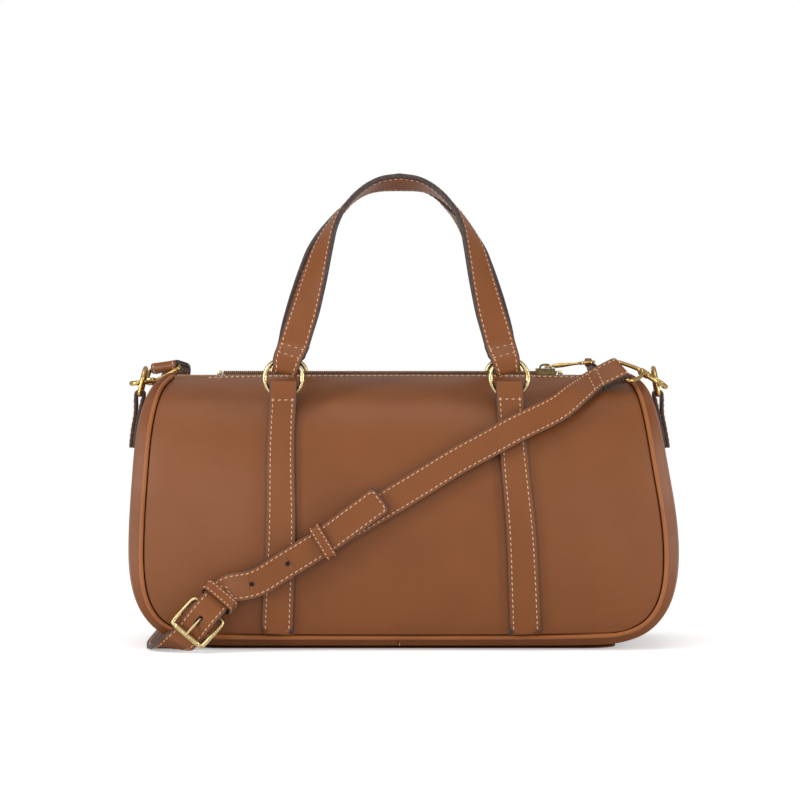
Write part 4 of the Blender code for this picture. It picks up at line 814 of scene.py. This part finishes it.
# %% [markdown]
# A handle is one thick strap. It lies flat where it leaves its rings, turns edge-on on its way up, and
# carries its cut edge to the front over the hand. At each end it is pared thin, folded through the ring and
# sewn to its own back. The measured handle has that run in coarse steps, so this one is drawn again between
# the same two rings: a smooth curve through a few places, with a rounded section carried along it. A curve
# with a bevel would twist as it liked, so the direction of its width is worked out at each point instead.

# %% Sizes of the handles
HANDLE_WIDTH = 19.0 * MM
HANDLE_END_WIDTH = 15.6 * MM
HANDLE_THICKNESS = 3.2 * MM
HANDLE_PLY = 1.8 * MM
TURNED_PLY = 1.5 * MM
LOOP_HALF = 4.05 * MM
LOOP_FOOT = 7.5 * MM
LOOP_STRAIGHT = 4.6 * MM
LOOP_STEPS = 10
LAP_START, LAP_END = 15.8 * MM, 22.8 * MM
PARING_START, PARING_RUN = 15.0 * MM, 14.0 * MM
GRIP_Y = 15.0 * MM
GRIP_STAND = 5.4 * MM
GRIP_FLAT_SHARE = 0.55
LEAN_POWER = 0.85
PLY_GAP = 0.05 * MM
PATH_STEP = 1.4 * MM
FINE_STEPS = 24
BELLY_END_SHARE = 0.85
BELLY_POWER = 0.7
# From the ring up to the middle of the grip: shares of the spread, of the rise and of a quarter turn
LEG_SHARES = (
    (0.917, 0.165, 0.00), (0.874, 0.247, 0.05), (0.829, 0.328, 0.14), (0.788, 0.412, 0.27),
    (0.749, 0.496, 0.38), (0.712, 0.581, 0.49), (0.674, 0.664, 0.59), (0.619, 0.749, 0.77),
    (0.540, 0.830, 0.92), (0.465, 0.882, 0.98), (0.380, 0.928, 1.00), (0.280, 0.965, 1.00),
    (0.160, 0.987, 1.00), (0.000, 0.995, 1.00),
)
# For each handle: the tilt of its grip, its sway to the right, its legs' belly and how far its ends lean
# inwards where they leave the rings
HANDLES = {
    "front": (math.radians(27), 1.9 * MM, 0.0, math.radians(12)),
    "back": (math.radians(12), 0.0, 5.0 * MM, math.radians(-4)),
}

# %% Path of a handle
def eased(share):
    share = min(max(share, 0.0), 1.0)
    return share * share * (3 - 2 * share)


def curve_through(rows, step):
    """Rows read off the smooth curve through the given rows, a step apart by their first three columns."""
    rows = np.array(rows, float)
    ends = np.vstack([2 * rows[0] - rows[1], rows, 2 * rows[-1] - rows[-2]])
    fine = []
    for k in range(1, len(ends) - 2):
        before, a, b, after = ends[k - 1:k + 3]
        for f in np.linspace(0, 1, FINE_STEPS, endpoint=False):
            fine.append(0.5 * (
                2 * a + (b - before) * f + (2 * before - 5 * a + 4 * b - after) * f**2
                + (3 * a - before - 3 * b + after) * f**3
            ))
    fine = np.array(fine + [rows[-1]])
    run = run_along(fine[:, :3])
    wanted = np.linspace(0.0, run[-1], int(run[-1] / step) + 1)
    return np.array([[np.interp(w, run, column) for column in fine.T] for w in wanted])


def handle_leg(ring, spread, rise, tilt, sway, belly, lean):
    """One leg from its turned end through its ring to the grip. A row holds how far out from the handle's
    middle, y and z, the direction of its width, its width and its thickness."""
    inward = (-math.cos(lean), 0.0, -math.sin(lean))

    def on_loop(y, run, *sizes):
        return (spread - math.sin(lean) * run, y, ring.z + math.cos(lean) * run, *inward, *sizes)

    outer, inner = ring.y - LOOP_HALF, ring.y + LOOP_HALF
    straight = (LOOP_FOOT, LOOP_FOOT + LOOP_STRAIGHT)
    places = [on_loop(outer, run) for run in straight]
    for share, height, turned in LEG_SHARES:
        turn = turned * math.pi / 2
        slope = tilt * (1 - eased(share / GRIP_FLAT_SHARE))
        bulge = belly * max(math.sin(math.pi * min(height / BELLY_END_SHARE, 1.0)), 0.0) ** BELLY_POWER
        y = -GRIP_Y + (outer + GRIP_Y) * (1 - height) ** LEAN_POWER
        places.append((
            share * spread + bulge + sway * height, y, ring.z + height * rise,
            -math.cos(turn), -math.sin(turn) * math.cos(slope), math.sin(turn) * math.sin(slope),
        ))
    leg = []
    for place in curve_through(places, PATH_STEP):
        height = place[2] - ring.z
        wide = eased(height / LAP_END)
        thick = eased((height - PARING_START) / PARING_RUN)
        leg.append((
            *place, HANDLE_END_WIDTH + (HANDLE_WIDTH - HANDLE_END_WIDTH) * wide,
            HANDLE_PLY + (HANDLE_THICKNESS - HANDLE_PLY) * thick,
        ))
    leg = np.array(leg)
    lap = []
    for row, way in zip(leg, np.gradient(leg[:, :3], axis=0)):
        if LAP_START < row[2] - ring.z < LAP_END:
            outwards = np.cross(way, row[3:6])
            away = (row[7] + TURNED_PLY) / 2 + PLY_GAP
            behind = row[:3] - outwards * away / np.linalg.norm(outwards)
            lap.append((*behind, *row[3:7], TURNED_PLY))
    loop = []
    for k in range(1, LOOP_STEPS):
        a = math.pi * k / LOOP_STEPS
        run = LOOP_FOOT - LOOP_HALF * math.sin(a)
        loop.append(on_loop(ring.y - LOOP_HALF * math.cos(a), run, HANDLE_END_WIDTH, HANDLE_PLY))
    rising = [on_loop(inner, run, HANDLE_END_WIDTH, TURNED_PLY) for run in straight]
    turned_end = curve_through(lap[::-1] + rising[::-1], PATH_STEP)
    return np.vstack([turned_end, loop[::-1], leg])


def handle_frames(face):
    """Places along a handle: its centre, the direction of its width, outwards, its width and thickness."""
    side = SIDES[face]
    tilt, sway, belly, lean = HANDLES[face]
    boxes = [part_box(f"{face}_ring_{hand}") for hand in HANDS]
    left, right = [(low + high) / 2 for low, high in boxes]
    middle, spread = (left.x + right.x) / 2, (right.x - left.x) / 2
    ring = Vector((0.0, -side * left.y, left.z))
    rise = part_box("front_handle")[1].z - GRIP_STAND - ring.z
    frames = []
    for hand in (-1, 1):
        rows = handle_leg(ring, spread, rise, tilt, hand * sway, belly, lean)
        leg = []
        for row, way in zip(rows, np.gradient(rows[:, :3], axis=0)):
            way /= np.linalg.norm(way)
            across = row[3:6] - way * np.dot(way, row[3:6])
            across /= np.linalg.norm(across)
            outwards = np.cross(way, across)
            world = [Vector((hand * v[0], -side * v[1], v[2])) for v in (row[:3], across, outwards)]
            world[0].x += middle
            leg.append((*world, row[6], row[7]))
        frames += leg if hand < 0 else leg[-2::-1]
    return frames


# %% Body of a handle
EDGE_ROUND_SHARE = 0.8
CROWN = 0.12 * MM
ARC_STEPS = 4
CROWN_SHARES = (0.6, 0.0, -0.6)


def handle_section(width, thickness):
    """The rounded section as places (across, out, is painted), once round."""
    radius = EDGE_ROUND_SHARE * thickness / 2
    across, out = width / 2 - radius, thickness / 2 - radius
    ring = []
    for turn, hand in enumerate((-1, 1)):
        for k in range(2 * ARC_STEPS + 1):
            a = math.pi / 2 + turn * math.pi + math.pi * k / (2 * ARC_STEPS)
            far = 0.0 if k == ARC_STEPS else math.copysign(out, math.sin(a))
            ring.append((hand * across + radius * math.cos(a), far + radius * math.sin(a), True))
        for share in CROWN_SHARES:
            lift = thickness / 2 + CROWN * (1 - share * share)
            ring.append((hand * across * share, hand * lift, False))
    return ring


def handle_mesh(name, frames):
    points, faces, paints = [], [], []
    for centre, across, outwards, width, thickness in frames:
        section = handle_section(width, thickness)
        points += [centre + across * x + outwards * y for x, y, _ in section]
    count = len(section)
    for start in range(0, len(points) - count, count):
        for k in range(count):
            following = (k + 1) % count
            faces.append([start + k, start + following, start + count + following, start + count + k])
            paints.append(section[k][2] and section[following][2])
    faces += [list(range(count)), list(range(len(points) - count, len(points)))]
    paints += [True, True]
    data = bpy.data.meshes.new(name)
    data.from_pydata(points, [], faces)
    for face, painted in zip(data.polygons, paints):
        face.material_index = int(painted)
        face.use_smooth = True
    mesh = bmesh.new()
    mesh.from_mesh(data)
    bmesh.ops.recalc_face_normals(mesh, faces=mesh.faces)
    mesh.to_mesh(data)
    mesh.free()
    return data


# %% Stitches of a handle
HANDLE_INSET = 2.4 * MM
CROSSING_HEIGHTS = (13.2 * MM, 18.3 * MM)
CROSSING_ROOM = 0.5 * MM
CROSSING_SHARES = np.linspace(-1, 1, 9)


def handle_rows(frames, ring_z):
    """Two rows on each face, and two crossings on the outer face over each end."""
    heights = [frame[0].z for frame in frames]
    lowest = [
        k for k in range(1, len(heights) - 1)
        if heights[k] < min(heights[k - 1], heights[k + 1], ring_z + LAP_START)
    ]
    shown = frames[lowest[0] + 2:lowest[-1] - 1]
    above = [frame for frame in shown if frame[0].z > ring_z + LAP_END]
    rows = []
    for run, face in ((shown, 1), (above, -1)):
        for edge in (-1, 1):
            row = []
            for centre, across, out, width, thickness in run:
                aside = across * edge * (width / 2 - HANDLE_INSET)
                row.append((centre + aside + out * face * (thickness / 2), out * face))
            rows.append(row)
    for half in (shown[:len(shown) // 2], shown[len(shown) // 2:]):
        for height in CROSSING_HEIGHTS:
            centre, across, out, width, thickness = min(half, key=lambda f: abs(f[0].z - ring_z - height))
            reach = across * (width / 2 - HANDLE_INSET - CROSSING_ROOM)
            rows.append([(centre + reach * s + out * thickness / 2, out) for s in CROSSING_SHARES])
    return rows


for face in HANDLES:
    node = f"{face}_handle"
    frames = handle_frames(face)
    handle = new_object(f"{node}_hide", handle_mesh(f"{node}_hide", frames))
    handle.data.materials.append(strap_leather)
    handle.data.materials.append(paint)
    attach(handle, body_of_node(node))
    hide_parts(node)
    finished[node] = handle
    ring_low, ring_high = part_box(f"{face}_ring_left")
    rows = handle_rows(frames, (ring_low.z + ring_high.z) / 2)
    sew(
        f"{node}_stitches", rows, body_of_node(node), "handle_leather",
        Thread_width=0.75 * MM, Stand=-0.1 * MM,
    )

# %% [markdown]
# The shoulder strap has a row along each edge and two rows across the lap at its right end. The camera shows
# where those two lie, so their ends are found by looking through its pixels onto the strap. The short seam
# where the two halves of the gusset meet under the front is found in the same way.

# %% Stitches of the shoulder strap and the side tabs
STRAP_INSET = 1.9 * MM
SIDE_TAB_INSET = 1.8 * MM
SIDE_TAB_SEWN_TOP = 0.152
LEAST_SIDEWAYS = 0.3
KEEPER_INSET = 1.3 * MM
KEEPER_LEAST_WIDTH = 2.0 * MM
KEEPER_SEWING = {"Pitch": 2.6 * MM, "Stitch_length": 1.8 * MM, "Thread_width": 0.65 * MM}
SEEN_ROWS = (
    ("buckle_strap", (588.1, 374.5), (594.7, 388.5)),
    ("buckle_strap", (596.8, 370.3), (603.4, 384.3)),
    ("gusset_right", (399.5, 638.5), (399.5, 644.5)),
)
for node in ("buckle_strap", "hole_strap"):
    bag_rows += edge_rows(node, STRAP_INSET)
for node, start, end in SEEN_ROWS:
    ends = [seen_through(*pixel, node) for pixel in (start, end)]
    print("row across", node, "found" if all(ends) else ends)
    if all(ends):
        bag_rows.append(cross_row(node, *ends))
for node in ("fixed_keeper", "sliding_keeper"):
    keeper_rows = edge_rows(node, KEEPER_INSET, wide=KEEPER_LEAST_WIDTH, shortest=0.0)
    sew(f"{node}_stitches", keeper_rows, body_of_node(node), "strap_leather", **KEEPER_SEWING)
for hand, side in HANDS.items():
    bag_rows += edge_rows(
        f"side_tab_{hand}", SIDE_TAB_INSET,
        lambda place, normal: place.z < SIDE_TAB_SEWN_TOP and normal.x * side > LEAST_SIDEWAYS,
    )
sew("bag_stitches", bag_rows, "bag", "strap_leather")

# %% [markdown]
# The walls are turned in and sewn beside the zip. Only the row along that top edge is wanted, so the rest of
# the panel's outline is left out by height and by which way the leather faces.

# %% Stitches of the walls
ZIP_ROW_INSET = 2.2 * MM
ZIP_ROW_DEPTH = 1.5 * MM
ZIP_ROW_REACH = 20 * MM
LEAST_UPWARD = 0.4
zip_rows = []
for node in ("front_panel", "back_panel"):
    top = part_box(node)[1].z - ZIP_ROW_DEPTH
    zip_rows += edge_rows(
        node, ZIP_ROW_INSET,
        lambda place, normal: place.z > top and normal.z > LEAST_UPWARD and abs(place.y) < ZIP_ROW_REACH,
    )
sew("wall_stitches", zip_rows, "bag", "body_leather", Thread_width=0.9 * MM, Stand=0.22 * MM)

# %% [markdown]
# The zip is a coil zip. Each side is one nylon wire wound in a flat spring, and a spring is what the Curve
# Spiral node draws. Squeezing it a little in height makes the flat coil that a slider can run over. A cotton
# cord fills each coil and rests on the tape.

# %% Coil tree
COIL_PITCH = 1.25 * MM
COIL_WIRE = 0.36 * MM
COIL_END = 0.4 * MM


def coil_tree():
    tree, inputs = start_tree("Zip coil", {
        "Length": 0.2, "Turns": 100.0, "Half width": 1.3 * MM, "Half height": 1.0 * MM, "Wire": COIL_WIRE,
    })
    spring = result_of(
        tree, "GeometryNodeCurveSpiral",
        {"Resolution": 10, "Start Radius": 1.0, "End Radius": 1.0, "Rotations": inputs["Turns"],
         "Height": inputs["Length"]},
    )
    size = result_of(
        tree, "ShaderNodeCombineXYZ", {"X": inputs["Half height"], "Y": inputs["Half width"], "Z": 1.0}
    )
    flat = result_of(tree, "GeometryNodeTransform", {"Geometry": spring, "Scale": size})
    along = result_of(
        tree, "GeometryNodeTransform", {"Geometry": flat, "Rotation": (0.0, math.pi / 2, 0.0)}
    )
    section = result_of(
        tree, "GeometryNodeCurvePrimitiveCircle", {"Resolution": 6, "Radius": inputs["Wire"]}
    )
    wound = result_of(
        tree, "GeometryNodeCurveToMesh", {"Curve": along, "Profile Curve": section, "Fill Caps": True}
    )
    points = result_of(
        tree, "GeometryNodeInstanceOnPoints", {"Points": inputs["Geometry"], "Instance": wound}
    )
    return end_tree(tree, inputs, points)


COILS = coil_tree()


# %% Coils and the cords in them
def box_object(name, low, high):
    mesh = bmesh.new()
    bmesh.ops.create_cube(mesh, size=1.0)
    for vert in mesh.verts:
        vert.co = [l + (h - l) * (c + 0.5) for l, h, c in zip(low, high, vert.co)]
    data = bpy.data.meshes.new(name)
    mesh.to_mesh(data)
    mesh.free()
    return new_object(name, data)


# A cord's box, measured inwards from the two corners of its coil's box. It starts lower, on the tape.
CORD_START = Vector((1.0, 0.7, -0.32)) * MM
CORD_END = Vector((1.0, 0.7, 0.5)) * MM

for face in SIDES:
    low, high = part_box(f"zip_teeth_{face}")
    middle = (low + high) / 2
    start = bpy.data.meshes.new(f"zip_coil_{face}")
    start.from_pydata([(low.x + COIL_END, middle.y, middle.z)], [], [])
    length = high.x - low.x - 2 * COIL_END
    obj = grown(
        f"zip_coil_{face}", start, COILS, coil_nylon, Length=length, Turns=length / COIL_PITCH,
        Half_width=(high.y - low.y) / 2 - COIL_WIRE, Half_height=(high.z - low.z) / 2 - COIL_WIRE,
    )
    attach(obj, "bag")
    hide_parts(f"zip_teeth_{face}")
    cord = box_object(f"zip_cord_{face}", low + CORD_START, high - CORD_END)
    cord.data.materials.append(cord_cotton)
    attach(cord, "bag")
    print("coil faces:", len(obj.data.polygons))

# %% [markdown]
# Beside each coil the tape carries the two rows of thread that hold it, and the tape itself is a woven strip.

# %% Tapes and stops
TAPE_ROWS = (4.3 * MM, 6.0 * MM)
TAPE_ROW_END = 2 * MM
TAPE_SEWING = {
    "Pitch": 1.7 * MM, "Stitch_length": 1.2 * MM, "Thread_width": 0.5 * MM, "Stand": 0.02 * MM,
}
tape_rows = []
for face, side in SIDES.items():
    node = f"zip_tape_{face}"
    dress(node, f"{node}_strip", [tape_cloth], bevel=0.1 * MM, levels=0)
    low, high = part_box(node)
    for away in TAPE_ROWS:
        ends = [(x, side * away, high.z) for x in (low.x + TAPE_ROW_END, high.x - TAPE_ROW_END)]
        tape_rows.append(cross_row(node, *ends))
sew("zip_tape_stitches", tape_rows, "bag", "zip_tape", zip_thread, **TAPE_SEWING)
for node in ("zip_end_stop", "zip_stop_front", "zip_stop_back"):
    dress(node, f"{node}_clip", [brass_metal], bevel=0.3 * MM, levels=0)

# %% [markdown]
# The studio is a plain pale floor and soft light. Two wide soft suns light the floor and the front evenly.
# Two tall soft boxes at the sides and two narrow ones nearer the camera draw the upright highlights near the
# bag's ends. The camera sees the full white behind the bag, and reflections see only a little of it.

# %% Floor and background
FLOOR_REACH = 6.0
FLOOR_GLOW = 0.41
SKY_LIGHT = 0.40
MIRRORED_WHITE = 0.15


def seen_white(tree):
    """1 for what the camera sees straight or through glass, and less in a reflection."""
    path = tree.nodes.new("ShaderNodeLightPath").outputs
    mirrored = maths(tree, "MULTIPLY", path["Is Glossy Ray"], MIRRORED_WHITE)
    seen = maths(tree, "MAXIMUM", path["Is Camera Ray"], mirrored)
    return maths(tree, "MAXIMUM", seen, path["Is Transmission Ray"])


def floor_material():
    material, tree, shader = start_material(
        "pale_floor", Base_Color=(0.82, 0.82, 0.82, 1), Roughness=0.9, Specular_IOR_Level=0.1,
        Emission_Color=(1, 1, 1, 1),
    )
    feed(tree, shader.inputs["Emission Strength"], maths(tree, "MULTIPLY", seen_white(tree), FLOOR_GLOW))
    return material


corners = [(x * FLOOR_REACH, y * FLOOR_REACH, 0.0) for x, y in ((-1, -1), (1, -1), (1, 1), (-1, 1))]
floor_mesh = bpy.data.meshes.new("floor")
floor_mesh.from_pydata(corners, [], [(0, 1, 2, 3)])
floor = new_object("floor", floor_mesh)
floor_mesh.materials.append(floor_material())

world = bpy.data.worlds.new("studio")
bpy.context.scene.world = world
world.use_nodes = True
sky = world.node_tree
background = sky.nodes["Background"]
background.inputs["Color"].default_value = (1, 1, 1, 1)
strength = maths(sky, "MULTIPLY_ADD", seen_white(sky), 1.0 - SKY_LIGHT, SKY_LIGHT)
feed(sky, background.inputs["Strength"], strength)

# %% Lights
SUN_ANGLE = math.radians(50)
BAG_MIDDLE = Vector((0.0, 0.0, 0.12))
# For each sun the way it shines and its strength, for each soft box its place, width, height and power
SUNS = {
    "top_light": ((0.12, 0.30, -1.0), 1.0),
    "front_light": ((-0.1, 1.0, -0.35), 0.30),
}
SOFT_BOXES = {
    "left_softbox": ((-1.05, -0.62, 0.35), 0.22, 0.9, 8.5),
    "right_softbox": ((1.05, -0.50, 0.30), 0.20, 0.8, 6.5),
    "left_edge_light": ((-0.62, -1.35, 0.30), 0.08, 0.9, 3.2),
    "right_edge_light": ((0.62, -1.35, 0.30), 0.06, 0.9, 1.6),
}


def add_light(name, kind, power, way):
    """A lamp that shines along a direction, and its settings."""
    data = bpy.data.lights.new(name, kind)
    data.energy = power
    lamp = new_object(name, data)
    lamp.rotation_euler = way.to_track_quat("-Z", "Y").to_euler()
    return lamp, data


for name, (way, power) in SUNS.items():
    sun, data = add_light(name, "SUN", power, Vector(way))
    data.angle = SUN_ANGLE
for name, (place, width, height, power) in SOFT_BOXES.items():
    soft_box, data = add_light(name, "AREA", power, BAG_MIDDLE - Vector(place))
    soft_box.location = place
    data.shape = "RECTANGLE"
    data.size, data.size_y = width, height
print("lights:", len(SUNS) + len(SOFT_BOXES))
